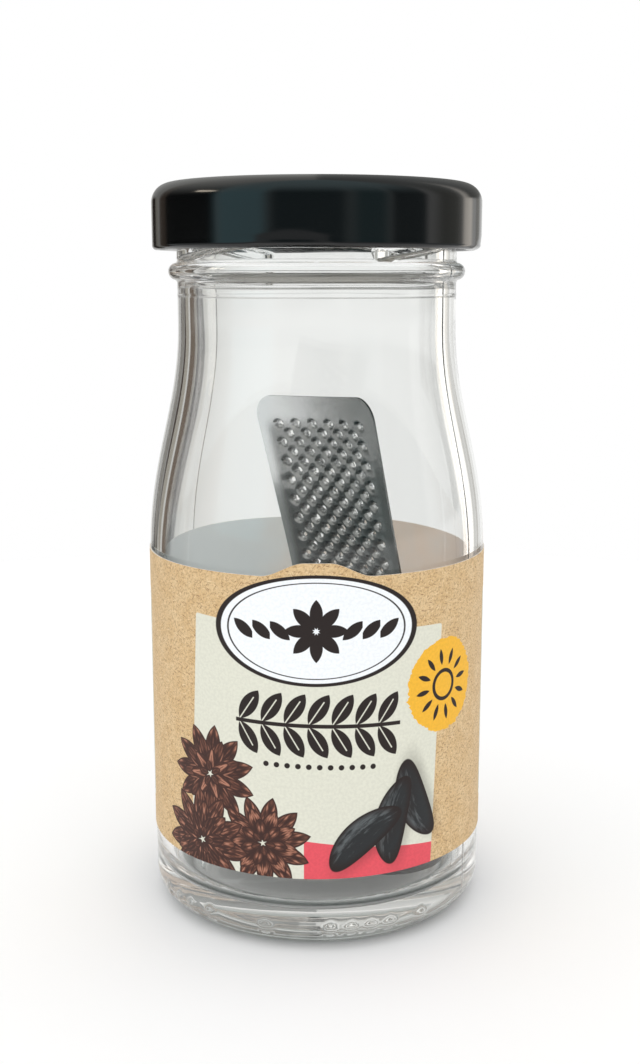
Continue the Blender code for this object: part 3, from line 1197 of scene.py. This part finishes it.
@dataclass
class GlassJar(Assembly):
    """The jar: one closed skin of glass with threads, bead, mould seams and dots."""

    wall_radius: float = 26.78 * MM
    inner_radius: float = 24.3 * MM
    heel: float = 4.6 * MM
    ring: float = 20.6 * MM
    push_up: float = 1.6 * MM
    floor: float = 5.0 * MM
    floor_fillet: float = 4.2 * MM
    neck: float = 21.75 * MM
    bore: float = 19.3 * MM
    rim: float = 113.1 * MM
    bead_height: float = 100.9 * MM
    bead_tube: float = 1.35 * MM
    shoulder_low: float = 57.0 * MM
    shoulder_high: float = 93.0 * MM
    pull_low: float = 15.0 * MM
    pull_high: float = 13.0 * MM
    seam_angle: float = math.radians(60)
    seam_reach: float = 0.045
    seam_ridge: float = 0.07 * MM
    neck_seam: float = 97.3 * MM
    thread_first: float = math.radians(-68)
    thread_span: float = math.radians(112)
    thread_low: float = 103.05 * MM
    thread_rise: float = 3.44 * MM
    thread_half: float = 1.15 * MM
    thread_crest: float = 1.45 * MM
    threads: int = 4
    dot_radius: float = 1.15 * MM
    dot_height: float = 0.3 * MM
    dot_angles: tuple[float, ...] = (-62.5, -54.0, -47.2, -38.1, -17.1, 4.3, 11.2, 17.9, 24.3, 36.4)
    back_dot_angles: tuple[float, ...] = (118.0, 127.0, 136.0, 160.0, 184.0, 193.0, 202.0, 226.0, 250.0)
    columns: int = 384

    def _shoulder(self, low: float, high: float, lift: float, count: int) -> list[Point]:
        """The S curve from body to neck."""
        start, end = self.shoulder_low + lift, self.shoulder_high + lift
        pulls = (low, start + self.pull_low), (high, end - self.pull_high)
        return bezier(((low, start), *pulls, (high, end)), count)

    def _outer(self) -> list[Point]:
        """The outside, from under the middle up to the rim's top.

        Returns:
            The profile.
        """
        low = (self.ring - 0.9 * MM, 0.15 * MM)
        foot = bezier(((0.5 * MM, self.push_up), (14 * MM, self.push_up), (18.5 * MM, 0.9 * MM), low), 12)
        foot += [(self.ring, 0.0), (self.wall_radius - self.heel - 0.4 * MM, 0.0)]
        heel = arc((self.wall_radius - self.heel, self.heel), self.heel, -86, 0, 26)
        wall = self.wall_radius
        body = line((wall, self.heel + 1.0 * MM), (wall, self.shoulder_low - 1.0 * MM), 9)
        shoulder = self._shoulder(self.wall_radius, self.neck, 0.0, 30)
        below = line((self.neck, 93.6 * MM), (self.neck, self.neck_seam - 0.5 * MM), 3)
        seam = line((self.neck, self.neck_seam - 0.35 * MM), (self.neck, self.neck_seam + 0.35 * MM), 9)
        above = [(self.neck, self.neck_seam + 0.8 * MM), (self.neck, 99.2 * MM)]
        bead = arc((self.neck, self.bead_height), self.bead_tube, -84, 84, 15)
        bead[0] = (self.neck + 0.16 * MM, self.bead_height - self.bead_tube - 0.02 * MM)
        threads = line((self.neck, 102.5 * MM), (self.neck, 111.3 * MM), 46)
        rim = arc((self.neck - 0.8 * MM, self.rim - 0.8 * MM), 0.8 * MM, 0, 90, 6)
        return foot + heel + body + shoulder + below + seam + above + bead + threads + rim

    def _inner(self) -> list[Point]:
        """The inside, from the rim's top down to the middle of the floor.

        Returns:
            The profile.
        """
        rim = arc((self.bore + 0.8 * MM, self.rim - 0.8 * MM), 0.8 * MM, 90, 180, 6)
        throat = line((self.bore, 111.0 * MM), (self.bore, 93.0 * MM), 8)
        shoulder = self._shoulder(self.inner_radius, self.bore, -1.1 * MM, 24)[::-1]
        lowest = self.floor + self.floor_fillet + 1.0 * MM
        body = line((self.inner_radius, 53.0 * MM), (self.inner_radius, lowest), 8)
        corner = self.inner_radius - self.floor_fillet
        fillet = arc((corner, self.floor + self.floor_fillet), self.floor_fillet, 0, -90, 12)
        crown = self.floor + 0.4 * MM
        edge, pull = (corner - 1 * MM, self.floor), (14 * MM, self.floor)
        floor = bezier((edge, pull, (8 * MM, crown), (0.5 * MM, crown)), 7)
        return rim + throat + shoulder + body + fillet + floor

    def _turns(self) -> np.ndarray:
        """Column angles, closer together at the two mould seams.

        Returns:
            The angles, in order.
        """
        even = np.linspace(-math.pi, math.pi, self.columns, endpoint=False)
        close = np.linspace(-self.seam_reach, self.seam_reach, 21)
        seams = (self.seam_angle, self.seam_angle - math.pi)
        for seam in seams:
            even = even[np.abs(even - seam) > self.seam_reach + 0.005]
        return np.unique(np.concatenate([even, *(seam + close for seam in seams)]))

    def _thread_relief(self, angle: np.ndarray, height: np.ndarray) -> np.ndarray:
        """How far the threads stand out of the neck.

        Args:
            angle, height: Where each point is, round the jar and up it.

        Returns:
            The height of the threads over the neck.
        """
        relief = np.zeros_like(angle)
        for i in range(self.threads):
            tip = self.thread_first + i * 2 * math.pi / self.threads
            along = (angle - tip + math.pi) % (2 * math.pi) - math.pi
            along = np.where(along < -1.0, along + 2 * math.pi, along)
            centre = self.thread_low + self.thread_rise * along
            share = np.clip(1 - np.abs(height - centre) / self.thread_half, 0, 1)
            fade = 1 - smooth(self.thread_span - 0.25, self.thread_span, along)
            blunt = smooth(-0.01, 0.07, along) * fade
            relief = np.maximum(relief, self.thread_crest * smooth(0.0, 0.55, share) * blunt)
        return relief

    def _seam_relief(self, angle: np.ndarray, height: np.ndarray) -> np.ndarray:
        """The fine ridges where the mould's parts met.

        Args:
            angle, height: Where each point is, round the jar and up it.

        Returns:
            The height of the ridges.
        """
        relief = np.zeros_like(angle)
        for seam in (self.seam_angle, self.seam_angle - math.pi):
            relief = np.maximum(relief, np.exp(-(((angle - seam) * 26 / 0.16) ** 2)))
        ring = np.exp(-(((height - self.neck_seam) / (0.13 * MM)) ** 2))
        return self.seam_ridge * np.maximum(relief * (height > 3 * MM), ring * 0.8)

    def _dots(self, radius: np.ndarray, angle: np.ndarray, height: np.ndarray) -> np.ndarray:
        """Low round studs on the heel.

        Args:
            radius, angle, height: Where each point is.

        Returns:
            The height of the studs.
        """
        relief = np.zeros_like(angle)
        centre_radius = self.wall_radius - self.heel + self.heel * math.cos(math.radians(-17))
        centre_height = self.heel + self.heel * math.sin(math.radians(-17))
        for degrees in self.dot_angles + self.back_dot_angles:
            turn = (angle - math.radians(degrees) + math.pi) % (2 * math.pi) - math.pi
            side = turn * centre_radius
            up = np.hypot(radius - centre_radius, height - centre_height) * np.sign(height - centre_height)
            off = np.hypot(side, up) / self.dot_radius
            relief = np.maximum(relief, self.dot_height * np.sqrt(np.clip(1 - off * off, 0, 1)))
        return relief

    def _drift(self, angle: np.ndarray, height: np.ndarray, seed: float) -> np.ndarray:
        """Slow unevenness of blown glass, from -1 to 1.

        Args:
            angle, height: Where each point is, round the jar and up it.
            seed: Which pattern.

        Returns:
            The drift at each point.
        """
        up = height / (18 * MM)
        drift = 0.45 * np.cos(2 * angle + seed + 0.4 * up) + 0.3 * np.cos(3 * angle - 1.3 * seed + 0.9 * up)
        drift += 0.25 * np.cos(5 * angle + 2.1 * seed - 1.7 * up) + 0.2 * np.cos(1.9 * up + seed)
        return drift / 1.2

    def build(self) -> list[bpy.types.Object]:
        """The one glass skin, in place of the plain jar.

        Returns:
            The pieces.
        """
        turns = self._turns()
        skin = Skin("jar_glass")
        radius, angle, height = lathe(self._outer(), turns)
        rows = len(radius)
        relief = self._seam_relief(angle, height) * (radius > self.neck - 0.3 * MM)
        relief += self._thread_relief(angle, height) * (height > 102 * MM) * (radius > self.neck - 0.3 * MM)
        dots = self._dots(radius, angle, height) * (radius > 19 * MM) * (height < 9 * MM)
        lean = np.clip((self.heel - height) / self.heel, 0, 1)
        swell = 0.02 * MM * self._drift(angle, height, 0.7) * (radius > 23 * MM) * (height > 60 * MM)
        outside = wrap(radius + relief + swell + dots * 0.75, angle, height - dots * 0.65 * lean)
        first = skin.grid(outside)
        radius, angle, height = lathe(self._inner(), turns)
        steady = smooth(6 * MM, 20 * MM, height) * (1 - smooth(92 * MM, 108 * MM, height))
        radius = radius + 0.16 * MM * self._drift(angle, height, 2.4) * steady
        inside = skin.grid(wrap(radius, angle, height))
        wide = len(turns)
        skin.bridge(row(first + (rows - 1) * wide, wide), row(inside, wide))
        skin.fan(row(inside + (len(radius) - 1) * wide, wide), (0.0, 0.0, self.floor + 0.4 * MM))
        skin.fan(row(first, wide)[::-1], (0.0, 0.0, self.push_up))
        glass = skin.build([ClearGlass()], sharp=80)
        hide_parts("jar")
        return [glass]


@dataclass
class TwistLid(Assembly):
    """The pressed lid: panel, shoulder, skirt and curl, with four pinched lugs."""

    body = Body.LID
    radius: float = 25.5 * MM
    top: float = 114.12 * MM
    bottom: float = 104.1 * MM
    sheet: float = 0.28 * MM
    shoulder: float = 2.9 * MM
    panel: float = 17.4 * MM
    drop: float = 0.5 * MM
    curl: float = 0.72 * MM
    lugs: int = 4
    lug_angle: float = math.radians(-8)
    lug_half: float = math.radians(14)
    lug_reach: float = 1.5 * MM
    columns: int = 256

    def _outer(self) -> list[Point]:
        """The enamelled face, from the panel's middle to the curl's inner edge.

        Returns:
            The profile.
        """
        middle = line((0.4 * MM, self.top - self.drop), (self.panel - 0.5 * MM, self.top - self.drop), 8)
        step = bezier(
            (
                (self.panel, self.top - self.drop),
                (self.panel + 0.6 * MM, self.top - self.drop),
                (self.panel + 0.5 * MM, self.top),
                (self.panel + 1.3 * MM, self.top),
            ),
            8,
        )
        centre = (self.radius - self.shoulder, self.top - self.shoulder)
        shoulder = arc(centre, self.shoulder, 90, 3, 18)
        under = (self.radius, self.top - self.shoulder - 0.6 * MM)
        skirt = line(under, (self.radius, self.bottom + 1.6 * MM), 9)
        curl = arc((self.radius - self.curl, self.bottom + self.curl), self.curl, 10, -200, 18)
        return middle + step + shoulder + skirt + curl

    def _lug_share(self, angle: np.ndarray) -> np.ndarray:
        """1 at the middle of each lug, 0 between them.

        Args:
            angle: Where each point is, round the lid.

        Returns:
            The share at each point.
        """
        step = 2 * math.pi / self.lugs
        off = (angle - self.lug_angle + step / 2) % step - step / 2
        return np.clip(1 - (off / self.lug_half) ** 2, 0, 1) ** 0.5

    def _pinch(
        self, radius: np.ndarray, angle: np.ndarray, height: np.ndarray
    ) -> tuple[np.ndarray, np.ndarray]:
        """Pushes the curl in and flattens it at the lugs.

        Args:
            radius, angle, height: Where each point is.

        Returns:
            The new radius and height.
        """
        share = self._lug_share(angle)
        edge = (self.bottom + 0.25 * MM) + 1.9 * MM * share
        dent = smooth(0.0, 1.0, (edge - height) / (1.1 * MM)) * share
        inward = np.clip((self.radius - radius) / (2 * self.curl), 0, 1)
        low = height < self.bottom + 3.2 * MM
        skirt = radius > self.radius - self.shoulder * 0.9
        moved = radius - dent * (0.12 * MM + inward * self.lug_reach) * low * skirt
        squeezed = self.bottom + (height - self.bottom) * (1 - 0.35 * dent * inward)
        return moved, np.where(low & skirt, squeezed, height)

    def build(self) -> list[bpy.types.Object]:
        """The sheet with its two faces, in place of the plain lid.

        Returns:
            The pieces.
        """
        turns = np.linspace(-math.pi, math.pi, self.columns, endpoint=False)
        outer = np.array(self._outer())
        lean = np.gradient(outer, axis=0)
        lean /= np.linalg.norm(lean, axis=1, keepdims=True)
        inner = outer + np.stack([lean[:, 1], -lean[:, 0]], axis=1) * self.sheet
        inner[0, 0] = outer[0, 0]
        skin = Skin("lid_cap")
        starts = []
        for slot, profile in enumerate((outer, inner)):
            radius, angle, height = lathe(profile, turns)
            radius, height = self._pinch(radius, angle, height)
            starts.append(skin.grid(wrap(radius, angle, height), slot=slot))
        wide = len(turns)
        last = (len(outer) - 1) * wide
        skin.bridge(*(row(start + last, wide) for start in starts))
        for slot, start in enumerate(starts):
            height = (outer, inner)[slot][0, 1]
            skin.fan(row(start, wide), (0.0, 0.0, height), slot)
        lid = skin.build([BlackEnamel(), Lacquer()], sharp=60)
        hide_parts("lid")
        return [lid]


@dataclass
class SealRing(Assembly):
    """The ring of sealing compound, with the groove that the rim has pressed into it."""

    body = Body.SEAL
    inner: float = 18.95 * MM
    outer: float = 22.9 * MM
    low: float = 113.3 * MM
    thick: float = 0.38 * MM
    groove: float = 0.1 * MM
    columns: int = 192

    def build(self) -> list[bpy.types.Object]:
        """The ring, in place of the plain one.

        Returns:
            The pieces.
        """
        middle = (self.inner + self.outer) / 2
        high = self.low + self.thick
        under = []
        for i in range(13):
            r = self.inner + 0.1 * MM + (self.outer - self.inner - 0.4 * MM) * i / 12
            under.append((r, self.low + self.groove * math.exp(-(((r - middle) / (0.7 * MM)) ** 2))))
        section = [(self.inner, self.low + 0.1 * MM), *under, (self.outer, self.low + 0.2 * MM)]
        section += [(self.outer, high - 0.08 * MM), (self.outer - 0.15 * MM, high)]
        section += [(self.inner + 0.08 * MM, high), (self.inner, high - 0.06 * MM)]
        turns = np.linspace(-math.pi, math.pi, self.columns, endpoint=False)
        skin = Skin("seal_ring")
        skin.grid(wrap(*lathe(section, turns)))
        wide = len(turns)
        skin.bridge(row((len(section) - 1) * wide, wide), row(0, wide))
        ring = skin.build([SealingCompound()], sharp=50)
        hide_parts("gasket")
        return [ring]


@dataclass
class PaperLabel(Assembly):
    """The label round the body, cut with a raised arch at its front."""

    face: float = 26.93 * MM
    back: float = 26.765 * MM
    low: float = 11.8 * MM
    high: float = 57.8 * MM
    arch: float = 2.1 * MM
    arch_flat: float = 3.6 * MM
    arch_half: float = 8.4 * MM
    gap: float = math.radians(4)
    columns: int = 420
    rows: int = 12

    def _top(self, angle: np.ndarray) -> np.ndarray:
        """Height of the top edge round the jar."""
        across = np.abs(angle * self.face)
        return self.high + self.arch * (1 - smooth(self.arch_flat / 2, self.arch_half, across))

    def build(self) -> list[bpy.types.Object]:
        """The sheet with a printed face, a gummed back and white edges.

        Returns:
            The pieces.
        """
        half = math.pi - self.gap / 2
        turns = np.linspace(-half, half, self.columns)
        share = np.linspace(0, 1, self.rows)[:, None]
        heights = self.low + (self._top(turns)[None, :] - self.low) * share
        angle = np.repeat(turns[None, :], self.rows, axis=0)
        skin = Skin("label_paper")
        starts = []
        for slot, radius in enumerate((self.face, self.back)):
            rows = wrap(np.full_like(angle, radius), angle, heights)
            starts.append(skin.grid(rows, slot=slot, close=False, flip=slot == 1))
        wide = self.columns
        top = (self.rows - 1) * wide
        out, back = starts
        skin.bridge(row(back, wide), row(out, wide), 2, close=False)
        skin.bridge(row(out + top, wide), row(back + top, wide), 2, close=False)
        for column in (0, wide - 1):
            one = [out + r * wide + column for r in range(self.rows)]
            other = [back + r * wide + column for r in range(self.rows)]
            skin.bridge(one, other, 2, close=False)
        label = skin.build([PrintedLabel(), PaperBack(), CutEdge()], sharp=30)
        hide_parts("label")
        return [label]


@dataclass
class PocketGrater(Assembly):
    """The hollow strip with rows of burrs, punched through to its outer side and torn open there."""

    length: float = 77.0 * MM
    head_width: float = 27.0 * MM
    tail_width: float = 23.4 * MM
    corner: float = 3.4 * MM
    sheet: float = 0.3 * MM
    hollow_radius: float = 63.0 * MM
    column_step: float = 1.85 * MM
    row_step: float = 1.54 * MM
    columns: int = 12
    rows: int = 27
    zone_top: float = 3.1 * MM
    sides: int = 16
    stretch: Point = (1.12, 0.92)
    rings: tuple[Point, ...] = (
        (1.1, 0.0),
        (1.0, 0.05),
        (0.86, 0.19),
        (0.7, 0.4),
        (0.55, 0.62),
        (0.44, 0.74),
    )
    torn_from: int = 4
    foot: Vector = field(default_factory=lambda: Vector((14.57, 1.25, 6.75)) * MM)
    head: Vector = field(default_factory=lambda: Vector((-0.45, -6.3, 81.9)) * MM)
    turn: float = math.radians(-48.7)

    def _half(self, along: float) -> float:
        """Half the strip's width at a distance from its head."""
        return (self.head_width + (self.tail_width - self.head_width) * along / self.length) / 2

    def _outline(self) -> list[Point]:
        """The flat strip as one loop, with round corners.

        Returns:
            The loop's points.
        """
        edge = []
        for i in range(9):
            a = math.radians(90 - 90 * i / 8)
            x = self._half(self.corner) - self.corner + self.corner * math.cos(a)
            edge.append((x, -self.corner + self.corner * math.sin(a)))
        for i in range(1, 60):
            along = self.corner + (self.length - 2 * self.corner) * i / 60
            edge.append((self._half(along), -along))
        for i in range(9):
            a = math.radians(-90 * i / 8)
            x = self._half(self.length) - self.corner + self.corner * math.cos(a)
            edge.append((x, -self.length + self.corner + self.corner * math.sin(a)))
        return edge + [(-x, y) for x, y in reversed(edge)]

    def _centres(self) -> list[Point]:
        """Staggered rows of six and five burrs.

        Returns:
            Their middles on the flat strip.
        """
        centres = []
        for row in range(self.rows):
            for column in range(1 + row % 2, self.columns, 2):
                x = (column - self.columns / 2) * self.column_step
                centres.append((x, -self.zone_top - (row + 1) * self.row_step))
        return centres

    def _burr(self, centre: Point, rng: np.random.Generator) -> list[tuple[Point, float]]:
        """The rings of one burr, from its shallow rim down to its torn edge.

        Args:
            centre: Its middle on the flat strip.
            rng: Source of its unevenness.

        Returns:
            Flat points with their depths, ring by ring.
        """
        skew = rng.uniform(-0.06, 0.06, 2) * MM
        tear = rng.uniform(-0.14, 0.14, self.sides) * MM
        made = []
        for number, (size, depth) in enumerate(self.rings):
            share = depth / self.rings[-1][1]
            for k in range(self.sides):
                a = 2 * math.pi * k / self.sides
                r = size * MM * (1 + 0.10 * share * math.sin(3 * a + centre[0] * 900 + centre[1] * 700))
                x = centre[0] + skew[0] * share + r * math.cos(a) * self.stretch[0]
                y = centre[1] + skew[1] * share + r * math.sin(a) * self.stretch[1]
                torn = tear[k] * (number - self.torn_from + 1) if number >= self.torn_from else 0.0
                made.append(((x, y), depth * MM + torn))
        return made

    def _flat(self) -> tuple[list[Vector], list[float], list[list[int]]]:
        """The punched sheet: flat points, their depths, and triangles outside the holes.

        Returns:
            The points, a depth for each, and the triangles.
        """
        rng = np.random.default_rng(11)
        outline = self._outline()
        points = list(outline)
        depths = [0.0] * len(points)
        edges = [(i, (i + 1) % len(outline)) for i in range(len(outline))]
        centres = self._centres()
        for centre in centres:
            for number, (point, depth) in enumerate(self._burr(centre, rng)):
                ring = len(points) - number % self.sides
                edges.append((len(points), ring + (number + 1) % self.sides))
                points.append(point)
                depths.append(depth)
        holes = np.array(centres)
        clear = self.rings[0][0] * MM * 1.16
        for i in range(-9, 10):
            for j in range(1, 56):
                x, y = i * 1.45 * MM, -j * 1.4 * MM
                inside = abs(x) < self._half(-y) - 0.7 * MM and -y < self.length - 1 * MM
                if inside and np.min(np.hypot(holes[:, 0] - x, holes[:, 1] - y)) > clear:
                    points.append((x, y))
                    depths.append(0.0)
        made = geometry.delaunay_2d_cdt([Vector(p) for p in points], edges, [], 1, 1e-7)
        flat, faces, origins = made[0], made[2], made[3]
        deep = [depths[o[0]] if o else 0.0 for o in origins]
        bore = self.rings[-1][0] * MM * 0.75
        kept = []
        for face in faces:
            middle = sum((flat[i] for i in face), Vector((0.0, 0.0))) / len(face)
            if np.min(np.hypot(holes[:, 0] - middle.x, holes[:, 1] - middle.y)) > bore:
                kept.append(list(face))
        return flat, deep, kept

    def build(self) -> list[bpy.types.Object]:
        """The strip, bent hollow, thickened and leant to the left in the jar.

        Returns:
            The pieces.
        """
        flat, deep, faces = self._flat()
        bent = []
        for point, depth in zip(flat, deep):
            a = point.x / self.hollow_radius
            reach = self.hollow_radius + depth
            bent.append((reach * math.sin(a), point.y, self.hollow_radius - reach * math.cos(a)))
        mesh = bpy.data.meshes.new("grater_blade")
        mesh.from_pydata(bent, [], faces)
        up = (self.head - self.foot).normalized()
        out = Vector((0, -1, 0)) - up * up.dot(Vector((0, -1, 0)))
        out.normalize()
        upright = Matrix((up.cross(out), up, out)).transposed().to_4x4()
        blade = bpy.data.objects.new("grater_blade", mesh)
        bpy.context.scene.collection.objects.link(blade)
        shell = blade.modifiers.new("Sheet", "SOLIDIFY")
        shell.thickness = self.sheet
        shell.offset = -1.0
        evaluated = blade.evaluated_get(bpy.context.evaluated_depsgraph_get())
        solid = bpy.data.meshes.new_from_object(evaluated)
        bpy.data.objects.remove(blade, do_unlink=True)
        blade = present(solid, "grater_blade", [StainlessSteel()], sharp=50)
        blade.matrix_world = Matrix.Translation(self.head) @ upright @ Matrix.Rotation(self.turn, 4, "Y")
        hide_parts("grater")
        return [blade]


@dataclass
class TonkaBeans(Assembly):
    """Four cured beans, long and flat, with deep wrinkles along them."""

    beans: tuple = (
        ((34.0, 11.0, 8.6), (2.9, -9.0, 10.1), (0, 0, -15)),
        ((31.0, 11.4, 9.0), (-9.2, 11.6, 10.3), (0, 0, 37)),
        ((33.0, 10.6, 8.4), (-4.5, -0.6, 18.0), (0, 0, -19)),
        ((29.0, 10.8, 8.8), (12.8, 10.8, 12.6), (47, 10, -55)),
    )
    rings: int = 120
    sides: int = 96

    def _wrinkles(self, along: np.ndarray, around: np.ndarray, seed: float) -> np.ndarray:
        """Folds that run along the bean and wander, from -1 to 0.

        Args:
            along, around: Place along the bean, -1 to 1, and angle round it.
            seed: Which pattern.

        Returns:
            The depth of the folds as a share of the bean's half width.
        """
        drift = 0.5 * np.sin(2.6 * along + seed) + 0.3 * np.sin(6.1 * along + 2 * seed)
        broad = np.abs(np.sin(3.5 * (around + drift) + 1.3 * np.sin(3.3 * along + seed)))
        fine = np.abs(np.sin(8.0 * around + 2.4 * np.sin(4.0 * along + 1.7 * seed) + 5.0 * along))
        cross = np.abs(np.sin(9.5 * along + 1.6 * np.sin(3.0 * around + seed)))
        return -(0.10 * (1 - broad) ** 2 + 0.05 * (1 - fine) ** 2 + 0.025 * (1 - cross) ** 3)

    def _bean(self, number: int, size: Colour, centre: Colour, turn: Colour) -> bpy.types.Object:
        """One bean in place of its plain node.

        Args:
            number: The bean's number, from 0.
            size: Length, width and thickness in mm.
            centre: Where it lies, in mm.
            turn: How it is turned, in degrees.

        Returns:
            The bean.
        """
        seed = 1.7 * number
        length, width, thick = (s * MM / 2 * 0.985 for s in size)
        lean = np.linspace(0.02, math.pi - 0.02, self.rings)
        turns = np.linspace(-math.pi, math.pi, self.sides, endpoint=False)
        along, around = np.meshgrid(np.cos(lean), turns, indexing="ij")
        full = np.sqrt(np.clip(1 - np.abs(along) ** 2.6, 0, 1)) * (1 + 0.10 * along)
        relief = 1 + 0.02 + self._wrinkles(along, around, seed) * (1 - along**4)
        bend = 0.16 * width * (1 - along * along)
        x = along * length
        y = np.cos(around) * full * relief * width + bend
        z = np.sin(around) * full * relief * thick
        skin = Skin(f"tonka_bean_{number + 1}")
        first = skin.grid(np.stack([x, y, z], axis=-1))
        last = first + (self.rings - 1) * self.sides
        skin.fan(row(first, self.sides), (length, 0.0, 0.0))
        skin.fan(row(last, self.sides), (-length, 0.0, 0.0))
        bean = skin.build([BeanSkin()], sharp=180)
        bean.location = Vector(centre) * MM
        bean.rotation_euler = [math.radians(a) for a in turn]
        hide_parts(f"bean_{number + 1}")
        return bean

    def build(self) -> list[bpy.types.Object]:
        """All the beans."""
        return [self._bean(i, *place) for i, place in enumerate(self.beans)]


# Studio


@dataclass(frozen=True)
class Band:
    """A stretch of the studio's surroundings, by angle from the front."""

    start: float
    end: float
    light: Colour
    soft: float = 1.0


@dataclass
class Studio:
    """Camera, floor, surroundings and lamps."""

    eye: Vector = field(default_factory=lambda: Vector((0.0, -218.2, 100.62)) * MM)
    down: float = 0.1866
    yaw: float = 0.0023
    focal_pixels: float = 1370.6
    frame_pixels: float = 1064.0
    sensor: float = 36.0
    surroundings: float = 1.0
    bounces: int = 24
    sun_strength: float = 0.5
    horizon: tuple[Band, ...] = (
        Band(-162, -159, (0.58, 0.57, 0.54)),
        Band(-159, -147, (0.02, 0.012, 0.008)),
        Band(-147, -141, (0.40, 0.38, 0.33)),
        Band(-138, -122, (0.15, 0.115, 0.09)),
        Band(-126, -72, (0.01, 0.01, 0.01)),
        Band(-72, -33, (0.50, 0.88, 0.98), 7.0),
        Band(-33, 22, (0.09, 0.14, 0.155), 7.0),
        Band(22, 52, (0.15, 0.27, 0.29), 9.0),
        Band(52, 80, (0.10, 0.13, 0.14), 3.0),
        Band(89, 118, (0.33, 0.33, 0.30), 9.0),
        Band(120, 134, (2.3, 2.15, 1.95), 2.5),
        Band(142, 153, (0.50, 0.49, 0.46)),
    )

    def camera(self) -> None:
        """A camera where the photograph was taken."""
        data = bpy.data.cameras.new("photo_camera")
        data.sensor_fit = "VERTICAL"
        data.sensor_height = self.sensor
        data.lens = self.focal_pixels * self.sensor / self.frame_pixels
        data.clip_start = 0.01
        data.clip_end = 20.0
        made = bpy.data.objects.new("photo_camera", data)
        made.location = self.eye
        made.rotation_euler = (math.pi / 2 - self.down, 0.0, -self.yaw)
        bpy.context.scene.collection.objects.link(made)
        bpy.context.scene.camera = made

    def floor(self) -> None:
        """A wide pale sweep under the jar."""
        skin = Skin("studio_sweep")
        radii = np.array([0.02, 0.05, 0.1, 0.16, 0.22, 0.28])
        turns = np.linspace(-math.pi, math.pi, 64, endpoint=False)
        radius, angle = np.meshgrid(radii, turns, indexing="ij")
        skin.grid(wrap(radius, angle, np.zeros_like(radius)))
        skin.fan(row(0, len(turns)), (0.0, 0.0, 0.0))
        sweep = skin.build([StudioFloor()])

    def sky(self) -> None:
        """Even white light, with cards and a window that only gloss and glass see."""
        world = bpy.data.worlds.new("studio")
        bpy.context.scene.world = world
        g = WorldGraph(world)
        x, y, z = g.split(g.node("ShaderNodeTexCoord", {}, {}, "Generated"))
        turn = g.math("ARCTAN2", x, -y) * (180 / math.pi)
        lift = g.math("ARCSINE", z) * (180 / math.pi)
        white = (1.0, 1.0, 1.0)
        dimmer = turn.step(-177.0, -164.0) * turn.step(0.0, -1.0)
        shown = g.mix(dimmer, (0.93, 0.93, 0.92), (0.70, 0.70, 0.68))
        for band in self.horizon:
            inside = turn.step(band.start - band.soft, band.start + band.soft)
            inside = inside * turn.step(band.end + band.soft, band.end - band.soft)
            shown = g.mix(inside, shown, band.light)
        right = turn.step(118.0, 134.0)
        behind = abs(turn).step(130.0, 150.0).most(right) * lift.step(4.0, 9.0)
        shown = g.mix(behind, shown, g.mix(right, (0.42, 0.42, 0.41), (0.22, 0.22, 0.21)))
        overhead = g.mix(turn.step(-50.0, -100.0), (0.68, 0.90, 0.95), (1.15, 1.15, 1.1))
        overhead = g.mix(turn.step(50.0, 90.0), overhead, (0.55, 0.57, 0.56))
        shown = g.mix(lift.step(8.0, 62.0), shown, overhead)
        pane = turn.step(-97.0, -93.0) * turn.step(-75.0, -79.0)
        pane = pane * lift.step(21.0, 23.0) * lift.step(29.0, 27.0)
        shown = g.mix(pane, shown, (7.0, 6.2, 5.0))
        path = g.node("ShaderNodeLightPath", {}, {}, "Is Camera Ray").socket.node
        kinds = ("Camera", "Glossy", "Transmission")
        camera, glossy, through = (Value(g, path.outputs[f"Is {kind} Ray"]) for kind in kinds)
        ahead = abs(turn).step(125.0, 121.0)
        card = g.mix(turn.step(12.0, -25.0), (0.10, 0.10, 0.10), (1.15, 1.13, 1.1))
        shown = g.mix(ahead * through, shown, card)
        low = lift.step(-0.5, -2.5) * ahead
        shown = g.mix(low * glossy, shown, (0.42, 0.44, 0.45))
        shown = g.mix(low * through, shown, (0.9, 0.9, 0.9))
        shown = g.mix(glossy.most(through), white, shown)
        g.surface(g.mix(camera, shown, white), self.surroundings)

    def lamps(self) -> None:
        """One very wide soft lamp, which lights paper and floor without showing in the gloss."""
        data = bpy.data.lights.new("soft_sky", "SUN")
        data.energy = self.sun_strength
        data.angle = math.radians(110)
        lamp = bpy.data.objects.new("soft_sky", data)
        lamp.rotation_euler = (math.radians(46), 0.0, math.radians(-18))
        lamp.visible_glossy = False
        lamp.visible_transmission = False
        bpy.context.scene.collection.objects.link(lamp)

    def set(self) -> None:
        """Sets up everything that isn't the object."""
        self.camera()
        self.floor()
        self.sky()
        self.lamps()
        paths = bpy.context.scene.cycles
        paths.max_bounces = paths.glossy_bounces = paths.transmission_bounces = self.bounces
        view = bpy.context.scene.view_settings
        view.view_transform = "Standard"
        view.look = "None"


class WorldGraph(Graph):
    """The node tree of the surroundings."""

    def __init__(self, world: bpy.types.World) -> None:
        """Clears the world's tree and adds its output.

        Args:
            world: The world that the nodes go into.
        """
        world.use_nodes = True
        self.tree = world.node_tree
        self.tree.nodes.clear()
        self.output = self.tree.nodes.new("ShaderNodeOutputWorld")

    def surface(self, colour: Value, strength: float) -> None:
        """Sends light of a colour to the world's output."""
        lit = self.node("ShaderNodeBackground", {}, {"Color": colour, "Strength": strength})
        self.tree.links.new(lit.socket, self.output.inputs["Surface"])


def main() -> None:
    """Builds every sub-assembly, then the studio."""
    logging.basicConfig(level=logging.INFO)
    for assembly in (GlassJar(), TwistLid(), SealRing(), PaperLabel(), PocketGrater(), TonkaBeans()):
        assembly.mount()
    Studio().set()


if __name__ == "__main__":
    main()
